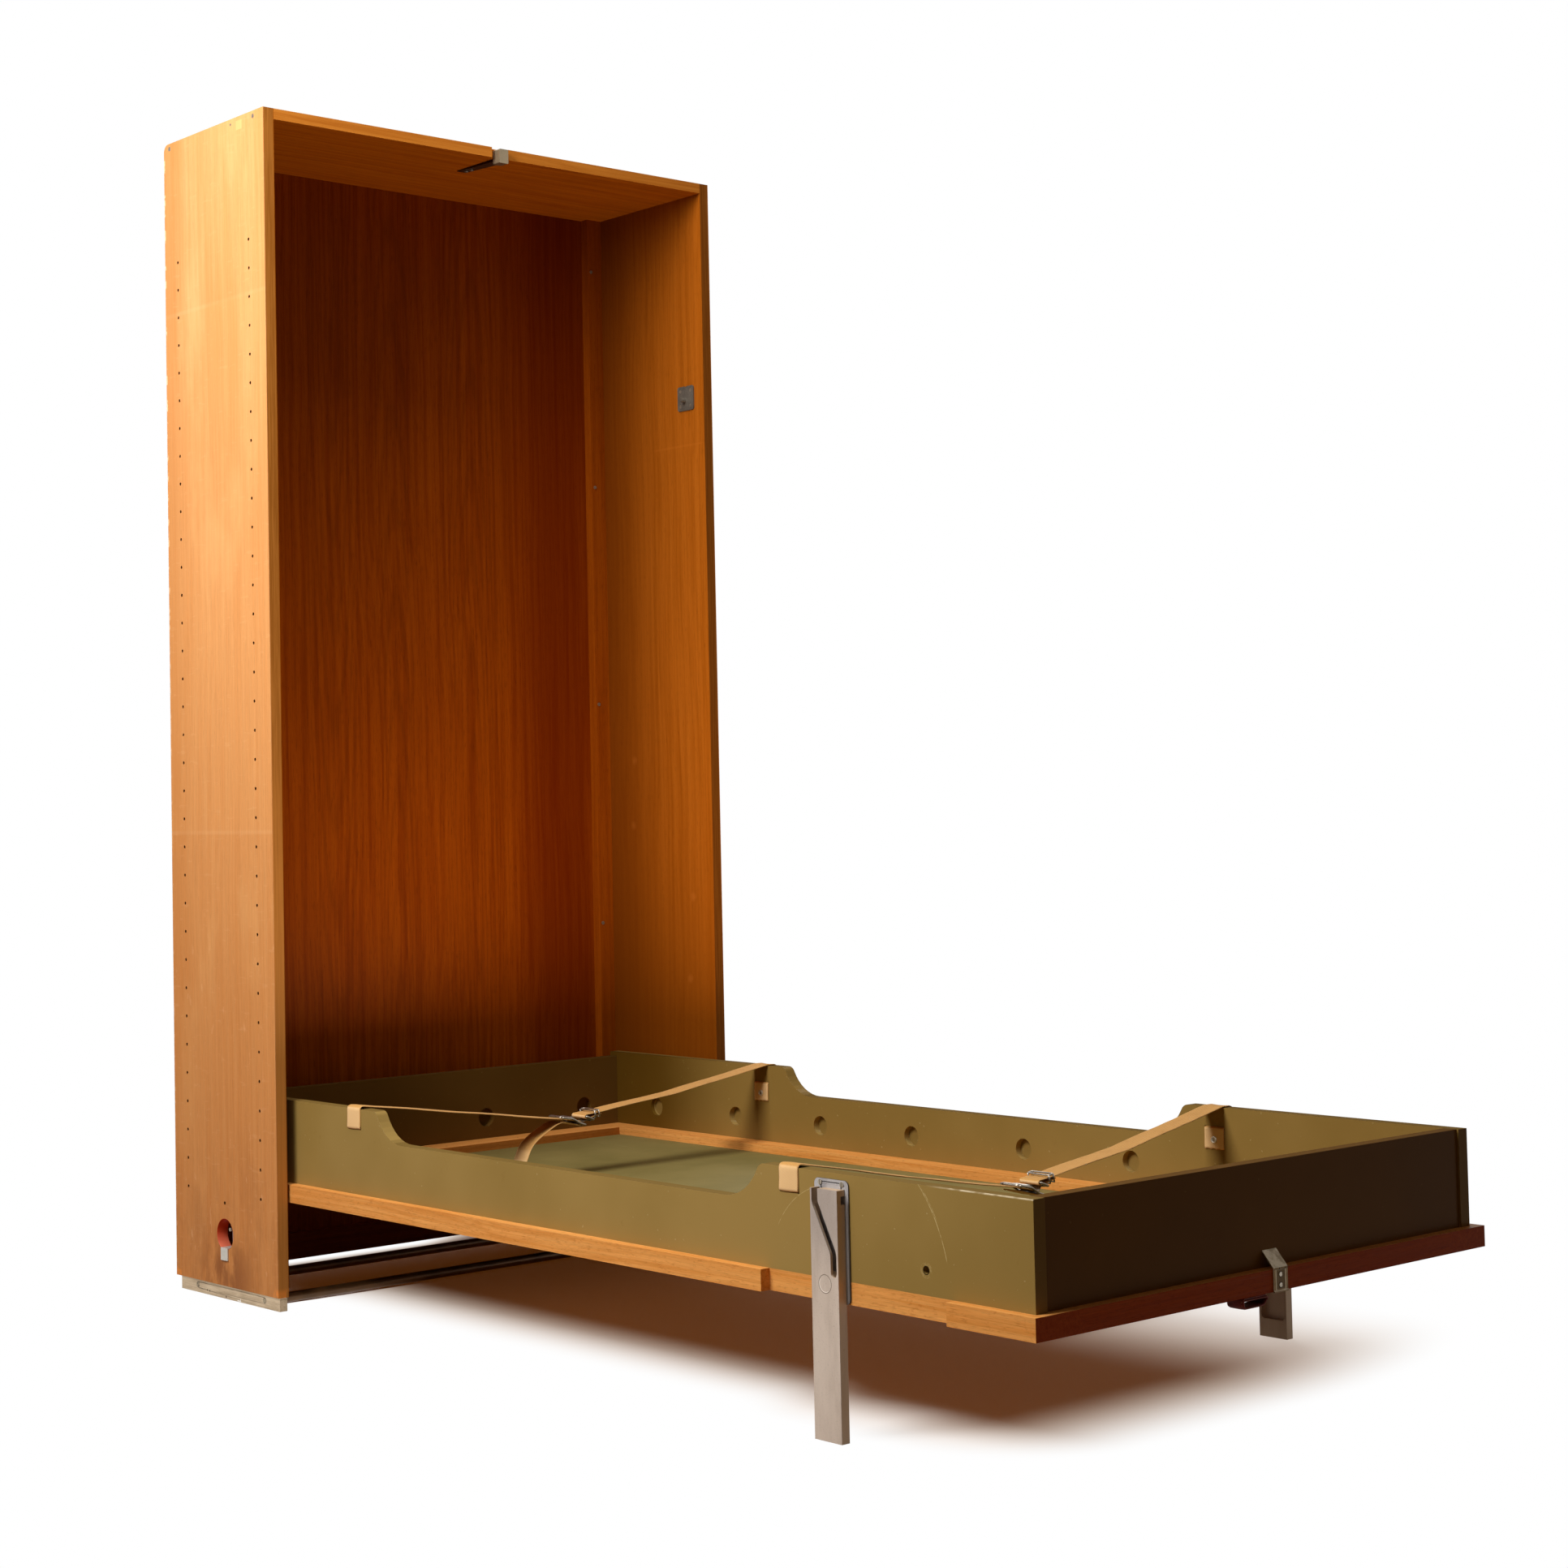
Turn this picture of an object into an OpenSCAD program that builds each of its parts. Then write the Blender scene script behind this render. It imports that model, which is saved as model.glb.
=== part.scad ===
// Single wall bed: a shallow cabinet and a tray on legs that folds up into it.
// Millimetres, +Z up, bed folded down towards -Y, X centred on the cabinet.

/* [Mattress tray] */
// Clear width between the side boards
tray_w = 876; // [760:2:960]
// Clear length between the head board and the foot board
tray_l = 1931; // [1850:1:2050]
// Thickness of the side, head and foot boards
board_t = 21; // [18:1:24]
// Height of the side boards and the foot board above the battens
board_h = 140; // [130:1:160]
// How much lower the head board is
head_drop = 8; // [2:1:20]
// How far the foot board stands back from the ends of the side boards
foot_setback = 3; // [1:0.5:8]
// Ledge of the foot batten in front of the foot board
foot_ledge = 17; // [14:1:24]
// Diameter of the round recesses in the boards
recess_d = 35; // [20:1:40]
// Depth of the round recesses in the boards
recess_depth = 12; // [6:1:14]
// Distance between neighbouring recesses
recess_pitch = 236; // [200:2:250]
// Height of the recesses above the battens
recess_up = 40; // [30:1:50]

/* [Cut-outs in the side boards] */
// Depth of the long cut-out
cut_depth = 50; // [30:1:70]
// Distance from either end of the tray frame to the cut-out
cut_in = 522; // [490:1:600]
// Radius of the sweep at each end of the cut-out
cut_r = 78; // [72:1:100]
// Radius of the rounded shoulder above the sweep
shoulder_r = 15; // [5:1:20]

/* [Battens and panels] */
// Thickness of the batten frame
batten_t = 30; // [28:1:36]
// Width of the battens
batten_w = 79; // [70:1:90]
// How far the side battens stand out past the side boards
batten_lip = 16; // [15:0.5:20]
// Lean of the joint between the side battens and the foot batten
joint_lean = 12; // [2:1:16]
// Thickness of the veneered panel under the tray
front_panel_t = 10; // [6:0.5:12]
// Thickness of the sheet that the mattress lies on
base_panel_t = 5.5; // [4:0.5:8]

/* [Cabinet] */
// Thickness of the side panels
panel_t = 21; // [18:1:25]
// Depth of the side panels
cab_depth = 345; // [335:1:380]
// Thickness of the top panel
top_t = 19; // [18:1:25]
// Thickness of the back panel
back_t = 6; // [4:1:10]
// How far the back panel lies inside the rear edges
back_inset = 4; // [2:1:10]
// Width of the upright cleats in the back corners
cleat_w = 35; // [25:1:45]
// Thickness of the upright cleats
cleat_t = 20; // [12:1:20]
// Top of the low rail behind the base
rail_top = 70; // [50:1:90]
// Thickness of the low rail
rail_t = 12; // [8:1:16]
// Clear space between the closed tray and the top panel
top_gap = 10; // [8:1:20]
// Clear space between the tray and each side panel
side_gap = 5; // [5:0.5:8]

/* [Skids and base rods] */
// Height of the skids
skid_h = 22; // [20:1:30]
// Width of the skids
skid_w = 15; // [12:1:20]
// How far the skids reach in front of the side panels
skid_front = 4; // [0:1:10]
// How far the skids stop short of the rear edges
skid_rear = 18; // [5:1:40]
// Diameter of the base rods
rod_d = 17; // [12:1:18]
// Distance from the cabinet front to the front rod
rod_front_y = 45; // [30:1:60]
// Distance from the cabinet front to the rear rod
rod_rear_y = 270; // [240:1:300]

/* [Shelf-pin holes and access hole] */
// Diameter of the shelf-pin holes
pin_hole_d = 5.5; // [4:0.5:7]
// Depth of the shelf-pin holes
pin_hole_depth = 10; // [6:1:14]
// Pitch of the shelf-pin holes
pin_pitch = 50; // [32:1:64]
// Height of the lowest shelf-pin hole above the floor
pin_first = 183; // [182:1:220]
// Distance of the front row from the front edge
pin_front = 53; // [45:1:60]
// Distance of the rear row from the rear edge
pin_rear = 46; // [42:1:60]
// Diameter of the access hole
access_d = 55; // [40:1:60]
// Distance of the access hole from the front edge
access_y = 174; // [165:1:185]
// Height of the access hole above the floor
access_z = 110.5; // [105:0.5:115]

/* [Bed pivot] */
// Height of the underside of the open tray
bed_clear = 180; // [175:1:190]
// How far the closed tray lies behind the cabinet front
bed_inset = 11; // [11:0.5:16]
// Height of the bed pivot above the underside of the tray
pivot_up = 62; // [58:1:70]
// Distance from the bed pivot back to the head end
pivot_to_head = 207; // [205:1:210]
// Diameter of the pivot pins
pivot_d = 14; // [10:1:18]
// Side of the square pivot plates
pivot_plate = 70; // [60:1:80]
// Thickness of the pivot plates and sockets
pivot_plate_t = 3; // [2:0.5:3]
// Depth of the pivot pins in the side boards
pivot_grip = 13; // [8:1:15]

/* [Folding legs] */
// Distance from the foot end to the leg pivots
leg_from_foot = 375; // [300:1:420]
// Width of a leg
leg_w = 52; // [50:1:54]
// Thickness of a leg
leg_t = 14.2; // [12:0.1:14.2]
// Length of a leg above its pivot
leg_top = 124; // [118:1:126]
// Wall thickness of the hollow leg
leg_wall = 4; // [3:0.5:5]
// Height of the solid foot below the pocket
leg_foot = 28; // [20:1:50]
// Diameter of the leg pin
leg_pin_d = 12; // [8:1:14]
// Diameter of the flush head of the leg pin
leg_pin_head = 24; // [18:1:26]
// Thickness of the plate behind a leg
leg_plate_t = 2; // [1.5:0.5:3]
// Width of the plate behind a leg
leg_plate_w = 66; // [62:1:80]

/* [Cam slot] */
// Width of the slot in the leg
slot_w = 11.5; // [10.5:0.5:12]
// Sideways place of the slot's open top
slot_top_w = 17.4; // [15:0.1:18]
// Sideways place of the slot's closed end
slot_end_w = 17.2; // [16.5:0.1:18]
// Height of the slot's closed end above the leg pivot
slot_end_v = 15.5; // [13:0.5:18]
// Length of the straight stretch above the closed end
slot_run = 20.5; // [16:0.5:22]
// Radius of the two knees of the slot
slot_knee = 20; // [16:1:24]
// Lean of the slanted stretch of the slot
slot_lean = 28; // [27:1:32]
// Diameter of the stud that rides in the slot
stud_d = 9; // [7:0.5:9.5]
// Reach of the stud from its plate
stud_reach = 12; // [8:0.5:14]
// Side of the square stud plates
cam_plate = 48; // [42:1:54]
// Thickness of the stud plates
cam_plate_t = 2.5; // [2:0.5:3]

/* [Latch and foot hook] */
// Width of the latch block and its leaf
latch_w = 20; // [16:1:24]
// Height of the latch block
latch_h = 26; // [22:1:30]
// Length of the leaf behind the block
leaf_l = 115; // [100:1:140]
// Thickness of the leaf
leaf_t = 1.5; // [1:0.1:1.8]
// Width of the notch in the top panel
notch_w = 36; // [30:1:50]
// Depth of the notch in the top panel
notch_depth = 12; // [12:1:20]
// Width of the hook on the foot batten
hook_w = 30; // [24:1:36]
// Thickness of the hook plate
hook_t = 1.8; // [1.6:0.1:2]

/* [Straps] */
// Width of the mattress straps
strap_w = 38; // [30:1:40]
// Thickness of the webbing
strap_t = 2; // [1.5:0.1:2.2]
// Distance from the head end to the rear strap
rear_strap_in = 457; // [440:1:470]
// Distance from the foot end to the front strap
front_strap_in = 460; // [450:1:480]
// Depth of the strap slots below the top of the side boards
slot_down = 32; // [28:1:38]
// Width of the anchor straps low in the cabinet
anchor_w = 23; // [18:1:26]
// Thickness of the anchor straps
anchor_t = 2.5; // [2:0.5:2.5]
// Width of the leather pull
pull_w = 28; // [20:1:34]
// Thickness of the leather pull
pull_t = 3; // [2:0.5:4]
// Length of the leather pull along the foot batten
pull_l = 72; // [60:1:100]
// Drop of the leather pull below the foot batten
pull_drop = 25; // [20:1:34]

/* [Counterbalance springs] */
// Outer diameter of a spring
spring_d = 12; // [10:0.5:12]
// Diameter of the spring wire
wire_d = 2; // [1.4:0.1:2.2]
// Number of curls
curls = 24; // [12:1:28]

/* [Hidden] */

// Clearances, each named once
fit = 0.05;
lie = 0.15;
run = 0.3;

// Widths from the middle outwards
board_in = tray_w / 2;
board_out = board_in + board_t;
batten_out = board_out + batten_lip;
batten_in = batten_out - batten_w;
panel_in = batten_out + side_gap;
panel_out = panel_in + panel_t;

// Bed pivot and lengths along the tray, measured from the cabinet front
pivot_y = bed_inset + pivot_up;
pivot_z = bed_clear + pivot_up;
head_y = pivot_y + pivot_to_head;
head_board_y = head_y - board_t;
foot_board_y = head_board_y - tray_l - board_t;
side_foot_y = foot_board_y - foot_setback;
foot_y = foot_board_y - foot_ledge;
bed_top = bed_clear + batten_t;
board_top = bed_top + board_h;
cut_z = board_top - cut_depth;
recess_z = bed_top + recess_up;
sheet_top = bed_clear + front_panel_t + base_panel_t;

// Sweeps of the cut-outs, and the recesses along the side boards
sweep_run = sqrt(cut_r * cut_r - (cut_r - cut_depth) * (cut_r - cut_depth));
low_far_y = head_y - cut_in - sweep_run;
low_near_y = foot_y + cut_in + sweep_run;
sweep_z = cut_z + cut_r;
shoulder_z = board_top - shoulder_r;
shoulder_dy = sqrt(pow(cut_r + shoulder_r, 2) - pow(sweep_z - shoulder_z, 2));
sweep_a = atan2(sweep_z - shoulder_z, shoulder_dy);
recess_mid = 134;
recess_at = concat([for (k = [3 : -1 : 0]) recess_mid + k * recess_pitch],
                   [for (k = [0 : 3]) -recess_mid - k * recess_pitch]);

// Cabinet heights, from the closed tray upwards
closed_top = pivot_z + pivot_y - foot_y;
top_under = closed_top + top_gap;
cab_h = top_under + top_t;
back_y = cab_depth - back_inset - back_t;
cleat_y = back_y - cleat_t;
rear_corner = 14;
pin_last = 200;

// Origin on the floor under the middle of the whole outline
hook_lip = 1.4;
reach = -foot_y + hook_t + hook_lip;
frame_y = (reach - cab_depth) / 2;

// Legs
leg_y = foot_y + leg_from_foot;
leg_z = bed_clear + leg_w / 2;
leg_in = board_out + leg_plate_t + run;
leg_out = leg_in + leg_t;
leg_swing = sqrt(leg_top * leg_top + leg_w * leg_w / 4);
foot_swing = sqrt(leg_z * leg_z + leg_w * leg_w / 4);
recess_gap = 2.3;
leg_plate_rim = 9.3;
leg_plate_top = leg_z + leg_swing + leg_plate_rim;
plate_screw_in = 12;
low_screw_up = 10;
leg_boss = 16;
leg_notch = 11;
leg_notch_down = 4;
leg_pocket_r = 6;
foot_room = 15.4;
catch_d = 10;
catch_y = leg_y - 173;

// Cam slot, in the leg's own sideways and upright directions
slot_span = slot_top_w + slot_end_w;
knee_side = 2 * slot_knee * (1 - cos(slot_lean));
slant_l = (slot_span - knee_side) / sin(slot_lean);
low_knee_v = slot_end_v + slot_run;
high_knee_v = low_knee_v + 2 * slot_knee * sin(slot_lean) + slant_l * cos(slot_lean);

// Place of the stud: the slot's closed end when the tray stands upright
stud_y = leg_z + slot_end_w + pivot_y - pivot_z;
stud_rise = 0.5;
stud_z = pivot_z + pivot_y - leg_y - slot_end_v - stud_rise;
cam_shift_y = -1.5;
cam_shift_z = 3.5;
cam_screw = 15;
cam_corner = 5;
cam_notch = 4;

// Screws: head diameter, head height, shank diameter, shank length
wood_screw = [8, 2, 4, 24];
plate_screw = [7, 1.3, 3.4, 12];
flush_screw = [7, 1.2, 3.4, 12];
rod_bolt = [10, 2.5, 6, 30];
anchor_bolt = [12, 3, 6, 14];
leaf_screw = [7, 1.5, 3.4, 12];
hook_screw = [6, 1, 3.4, 12];
rod_z = skid_h - run - rod_d / 2;
top_screw_y = [34, cab_depth - 20];
rod_tap = 28;
cleat_screw_first = 97;
cleat_screw_pitch = 441;
cleat_screw_z = [for (k = [0 : 3]) closed_top - cleat_screw_first - k * cleat_screw_pitch];
cleat_screw_in = 8;

// Latch: the block hangs in front of the closed tray on its leaf
latch_play = 2.5;
latch_l = 20.5;
latch_back = bed_inset - latch_play;
latch_front = latch_back - latch_l;
latch_low = closed_top - 1;
leaf_above = 4.8;
leaf_grip = 24;
leaf_front_z = closed_top + leaf_above;
leaf_rear_y = latch_back + leaf_l;
leaf_hinge_y = leaf_rear_y - leaf_grip;
leaf_screw_off = 8;
leaf_rear_drop = 0.3;
leaf_screw_drop = 0.6;
leaf_slope = (top_under - leaf_rear_drop - leaf_front_z) / leaf_l;
notch_r = 6;

// Foot hook
hook_low = bed_clear - 1;
ramp_rise = 20;
hook_toe = 3;
hook_toe_t = 1;
hook_groove = 18;
hook_groove_t = 0.8;
hook_screw_z = [bed_clear + 8, bed_clear + 22];

// Leather pull
pull_x = -11;
pull_y = foot_y + hook_t + pull_w / 2;
pull_tab = 22;
pull_bend = 8;
pull_sag = 3;

// Mattress straps: knots are [share of the way to the buckle, rise above the straight line]
slot_h = 4;
slot_play = 1;
strap_z = board_top - slot_down;
rear_y = head_y - rear_strap_in;
front_y = foot_y + front_strap_in;
strap_tab = 32;
strap_turn = 3;
buckle_r = 2;
rail_w = 3;
rail_h = 5;
far_lead = 8;
far_lift = 3;
far_open = 4;
buckle_lean = 15;
slide_bars = [-34, -16];
buckle_fore = 36;
link_bar = 12;
clasp_bar = 22;
buckle_aft = 30;
clasp_w = 20;
clasp_t = 1.6;
wrap_r = buckle_r + run + strap_t / 2;
clasp_r = buckle_r + fit + clasp_t / 2;
rear_buckle_at = [2, board_top - 59];
front_buckle_at = [-3, board_top - 79];
rear_near_knots = [[0.20, 5], [0.44, 7], [0.70, 8], [0.90, 6]];
rear_far_knots = [[0.10, 9], [0.25, 10], [0.55, 8]];
front_near_knots = [[0.20, 5], [0.44, 7], [0.70, 6], [0.90, 3]];
front_far_knots = [[0.10, 6], [0.30, 8], [0.60, 6]];
rear_tail = [[16, 0.09], [36, 0.23], [62, 0.50], [84, 0.76], [98, 1]];
fold_l = 26;

// Anchor straps and counterbalance springs
anchor_low = access_z - 44;
anchor_top = access_z + 70;
anchor_bolt_z = access_z + 54.5;
anchor_bolt_head = side_gap - anchor_t - 2 * lie - 1;
plate_corner = 8;
socket_inset = 5;
spring_grip = 12;
spring_out = 2.5;
spring_x = (batten_out + board_out) / 2 + spring_out;
spring_foot = [access_y + 1, access_z + 7.5];
spring_head = [head_y - 45, pivot_z + 20];
spring_stud_d = 6;
relief_l = 160;
relief_y = head_y - relief_l;
curl_rings = 8;
wire_sides = 6;
spring_span = norm(spring_head - spring_foot);
spring_tilt = atan2(spring_head[0] - spring_foot[0], spring_head[1] - spring_foot[1]);
coil_r = (spring_d - wire_d) / 2;
lead = spring_stud_d / 2 + run;
coil_l = spring_span - 2 * lead - 2 * wire_d;
spring_steps = curls * curl_rings;

// Colours
honey = [0.82, 0.58, 0.33];
batten_tan = [0.86, 0.60, 0.33];
teak = [0.45, 0.24, 0.10];
olive = [0.54, 0.45, 0.22];
sheet_green = [0.47, 0.46, 0.31];
steel = [0.72, 0.71, 0.69];
worn_steel = [0.62, 0.62, 0.62];
brass = [0.74, 0.66, 0.48];
nickel = [0.66, 0.60, 0.50];
zinc = [0.78, 0.76, 0.72];
webbing = [0.84, 0.65, 0.41];
leather = [0.30, 0.07, 0.05];
rod_brown = [0.28, 0.21, 0.12];
skid_grey = [0.63, 0.59, 0.51];

// Points along an arc
function arc(cx, cy, r, a0, a1, n = 8) =
    [for (i = [0 : n]) let (a = a0 + (a1 - a0) * i / n) [cx + r * cos(a), cy + r * sin(a)]];

function unit(v) = v / norm(v);

// Unit normal to the left of a flat path at point i, lengthened at a bend
function path_normal(p, i) =
    let (a = unit(i > 0 ? p[i] - p[i - 1] : p[1] - p[0]),
         b = unit(i < len(p) - 1 ? p[i + 1] - p[i] : p[i] - p[i - 1]),
         na = [-a[1], a[0]],
         nb = [-b[1], b[0]],
         m = unit(na + nb))
    m / max(0.5, m * na);

// Outline of a band of one thickness along a flat path
function band(p, t) = concat(
    [for (i = [0 : len(p) - 1]) p[i] + path_normal(p, i) * t / 2],
    [for (i = [len(p) - 1 : -1 : 0]) p[i] - path_normal(p, i) * t / 2]);

// Places everything from the cabinet front's own measure into the frame
module placed() {
    translate([0, frame_y, 0]) children();
}

module mirrored() {
    mirror([1, 0, 0]) children();
}

module both_sides() {
    children();
    mirrored() children();
}

// Extrudes a shape drawn in Y and Z along X
module along_x(x0, x1) {
    translate([x0, 0, 0]) rotate([90, 0, 90]) linear_extrude(x1 - x0) children();
}

// Extrudes a shape drawn in X and Z along Y
module along_y(y0, y1) {
    translate([0, y1, 0]) rotate([90, 0, 0]) linear_extrude(y1 - y0) children();
}

module block(x, y, z) {
    translate([x[0], y[0], z[0]]) cube([x[1] - x[0], y[1] - y[0], z[1] - z[0]]);
}

module rounded_rect(w, h, r) {
    union() {
        square([w - 2 * r, h], center = true);
        square([w, h - 2 * r], center = true);
        for (sx = [-1, 1], sy = [-1, 1])
            translate([sx * (w / 2 - r), sy * (h / 2 - r)]) circle(r, $fn = 32);
    }
}

// Bore or rod along X between two places
module rod_x(x0, x1, y, z, d, n = 32) {
    translate([x0, y, z]) rotate([0, 90, 0]) cylinder(d = d, h = x1 - x0, $fn = n);
}

module rod_y(y0, y1, x, z, d, n = 32) {
    translate([x, y1, z]) rotate([90, 0, 0]) cylinder(d = d, h = y1 - y0, $fn = n);
}

module to_left() { rotate([0, -90, 0]) children(); }
module to_right() { rotate([0, 90, 0]) children(); }
module to_front() { rotate([90, 0, 0]) children(); }
module to_floor() { rotate([180, 0, 0]) children(); }

// Slotted screw, its head above the origin and its shank below
module screw(s) {
    slot = 1.2;
    difference() {
        cylinder(d = s[0], h = s[1], $fn = 32);
        translate([-s[0], -slot / 2, s[1] / 2]) cube([2 * s[0], slot, s[1]]);
    }
    translate([0, 0, -s[3]]) cylinder(d = s[2], h = s[3] + s[1] / 4, $fn = 24);
}

// Room for a screw's shank, with an optional sunk seat for its head
module screw_hole(s, seat = 0) {
    end = 1;
    translate([0, 0, -s[3] - end]) cylinder(d = s[2] + 2 * fit, h = s[3] + s[1] + end + seat, $fn = 24);
    if (seat > 0) cylinder(d = s[0] + 2 * fit, h = s[1] + seat, $fn = 32);
}

// Cabinet

function pin_count() = floor((cab_h - pin_last - pin_first) / pin_pitch);

module side_panel() {
    over = 1;
    difference() {
        along_x(-panel_out, -panel_in) panel_outline();
        rod_x(-panel_out - over, -panel_in + over, access_y, access_z, access_d, 64);
        rod_x(-panel_out - over, -panel_in + over, access_y, anchor_bolt_z, anchor_bolt[2] + 2 * fit);
        for (k = [0 : pin_count()], y = [pin_front, cab_depth - pin_rear])
            rod_x(-panel_out - over, -panel_out + pin_hole_depth, y, pin_first + k * pin_pitch, pin_hole_d);
        place_top_screws() screw_hole(wood_screw, over);
        rod_x(-panel_in - spring_grip, -panel_in + over, spring_foot[0], spring_foot[1],
              spring_stud_d + 2 * fit);
    }
}

module panel_outline() {
    polygon(concat(
        [[0, skid_h], [cab_depth, skid_h]],
        arc(cab_depth - rear_corner, cab_h - rear_corner, rear_corner, 0, 90),
        [[0, cab_h]]));
}

module place_top_screws() {
    for (y = top_screw_y)
        translate([-panel_out + wood_screw[1], y, cab_h - top_t / 2]) to_left() children();
}

module left_side_panel() { color(honey) placed() side_panel(); }
module right_side_panel() { color(honey) placed() mirrored() side_panel(); }

module top_panel() {
    over = 1;
    color(honey) placed() difference() {
        block([-panel_in, panel_in], [0, cab_depth], [top_under, cab_h]);
        translate([0, 0, top_under - over]) linear_extrude(top_t + 2 * over)
            translate([0, notch_depth / 2 - notch_depth]) rounded_rect(notch_w, 3 * notch_depth, notch_r);
        both_sides() place_top_screws() screw_hole(wood_screw);
        place_leaf_screws() screw_hole(leaf_screw);
    }
}

module back_panel() {
    color(teak) placed() block([-panel_in, panel_in], [back_y, back_y + back_t], [skid_h, top_under]);
}

module back_cleat() {
    difference() {
        block([-panel_in, -panel_in + cleat_w], [cleat_y, back_y], [rail_top, top_under]);
        place_cleat_screws() screw_hole(plate_screw);
    }
}

module place_cleat_screws() {
    for (z = cleat_screw_z)
        translate([-panel_in + cleat_w - cleat_screw_in, cleat_y, z]) to_front() children();
}

module left_back_cleat() { color(teak) placed() back_cleat(); }
module right_back_cleat() { color(teak) placed() mirrored() back_cleat(); }

module back_rail() {
    color(teak) placed() block([-panel_in, panel_in], [back_y - rail_t, back_y], [skid_h, rail_top]);
}

module cleat_screws() {
    color(steel) placed() both_sides() place_cleat_screws() screw(plate_screw);
}

module top_screws() {
    color(steel) placed() both_sides() place_top_screws() screw(wood_screw);
}

// Skids and base rods

module place_rod_bolts() {
    for (y = [rod_front_y, rod_rear_y])
        translate([-panel_out + rod_bolt[1], y, rod_z]) to_left() children();
}

module skid() {
    over = 1;
    difference() {
        block([-panel_out, -panel_out + skid_w], [-skid_front, cab_depth - skid_rear], [0, skid_h]);
        place_rod_bolts() screw_hole(rod_bolt, over);
    }
}

module left_skid() { color(skid_grey) placed() skid(); }
module right_skid() { color(skid_grey) placed() mirrored() skid(); }

module rod_bolts() { color(steel) placed() both_sides() place_rod_bolts() screw(rod_bolt); }

module base_rod(y) {
    end = panel_out - skid_w;
    difference() {
        rod_x(-end, end, y, rod_z, rod_d);
        both_sides() rod_x(-end - 1, -end + rod_tap, y, rod_z, rod_bolt[2] + 2 * fit);
    }
}

module front_base_rod() { color(rod_brown) placed() base_rod(rod_front_y); }
module rear_base_rod() { color(rod_brown) placed() base_rod(rod_rear_y); }

// Bed pivots: a plate with a pin on each side panel, a socket on each side board

module pivot_plate_part() {
    along_x(-panel_in, -panel_in + pivot_plate_t)
        translate([pivot_y, pivot_z]) rounded_rect(pivot_plate, pivot_plate, plate_corner);
    rod_x(-panel_in + pivot_plate_t / 2, -board_out + pivot_grip, pivot_y, pivot_z, pivot_d);
}

module left_pivot_plate() { color(steel) placed() pivot_plate_part(); }
module right_pivot_plate() { color(steel) placed() mirrored() pivot_plate_part(); }

module pivot_socket() {
    side = pivot_plate - 2 * socket_inset;
    difference() {
        along_x(-board_out - pivot_plate_t, -board_out)
            translate([pivot_y, pivot_z]) rounded_rect(side, side, plate_corner);
        rod_x(-board_out - 2 * pivot_plate_t, -board_out + 1, pivot_y, pivot_z, pivot_d + 2 * fit);
    }
}

module left_pivot_socket() { color(steel) placed() pivot_socket(); }
module right_pivot_socket() { color(steel) placed() mirrored() pivot_socket(); }

// Stud plates that steer the legs

module place_cam_plate() {
    translate([-panel_in, stud_y + cam_shift_y, stud_z + cam_shift_z]) to_right() children();
}

module place_cam_screws() {
    place_cam_plate() for (a = [-1, 1], b = [-1, 1])
        translate([a * cam_screw, b * cam_screw, cam_plate_t - flush_screw[1]]) children();
}

module cam_plate_part() {
    over = 1;
    difference() {
        place_cam_plate() linear_extrude(cam_plate_t) difference() {
            rounded_rect(cam_plate, cam_plate, cam_corner);
            translate([-cam_plate / 2, 0]) rotate(45) square(cam_notch, center = true);
        }
        place_cam_screws() screw_hole(flush_screw, over);
    }
    rod_x(-panel_in + cam_plate_t / 2, -panel_in + cam_plate_t + stud_reach, stud_y, stud_z, stud_d);
}

module left_cam_plate() { color(worn_steel) placed() cam_plate_part(); }
module right_cam_plate() { color(worn_steel) placed() mirrored() cam_plate_part(); }
module cam_plate_screws() { color(steel) placed() both_sides() place_cam_screws() short_screw(); }

// The flush screws of the stud plates end in the plate's own thickness and the panel face
module short_screw() {
    screw([flush_screw[0], flush_screw[1], flush_screw[2], cam_plate_t - flush_screw[1]]);
}

// Anchor straps through the access holes, and their bolts

module anchor_strap() {
    r = access_d / 2;
    sill = access_z - sqrt(r * r - anchor_w * anchor_w / 4) + anchor_t / 2 + lie;
    x_out = -panel_out - anchor_t / 2 - lie;
    x_in = -panel_in + anchor_t / 2 + lie;
    path = [[x_out, anchor_low], [x_out, sill], [x_in, sill], [x_in, anchor_top]];
    difference() {
        along_y(access_y - anchor_w / 2, access_y + anchor_w / 2) polygon(band(path, anchor_t));
        rod_x(-panel_in - 1, -panel_in + 2 * anchor_t, access_y, anchor_bolt_z, anchor_bolt[2] + 2 * fit);
        rod_x(-panel_in - 1, -panel_in + 2 * anchor_t, spring_foot[0], spring_foot[1],
              spring_stud_d + 2 * fit);
    }
}

module left_anchor_strap() { color(zinc) placed() anchor_strap(); }
module right_anchor_strap() { color(zinc) placed() mirrored() anchor_strap(); }

module place_anchor_bolt() {
    translate([-panel_in + anchor_t + 2 * lie, access_y, anchor_bolt_z]) to_right() children();
}

module anchor_bolts() {
    color(steel) placed() both_sides() place_anchor_bolt()
        screw([anchor_bolt[0], anchor_bolt_head, anchor_bolt[2], anchor_bolt[3]]);
}

// Counterbalance springs between the side panels and the side boards

module spring_anchor() {
    rod_x(-panel_in - spring_grip + 1, -spring_x + spring_d / 2,
          spring_foot[0], spring_foot[1], spring_stud_d);
}

module left_spring_anchor() { color(steel) placed() spring_anchor(); }
module right_spring_anchor() { color(steel) placed() mirrored() spring_anchor(); }

module spring_studs() {
    color(steel) placed() both_sides() rod_x(-spring_x - spring_d / 2 + 1, -board_out + spring_grip,
        spring_head[0], spring_head[1], spring_stud_d);
}

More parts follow.
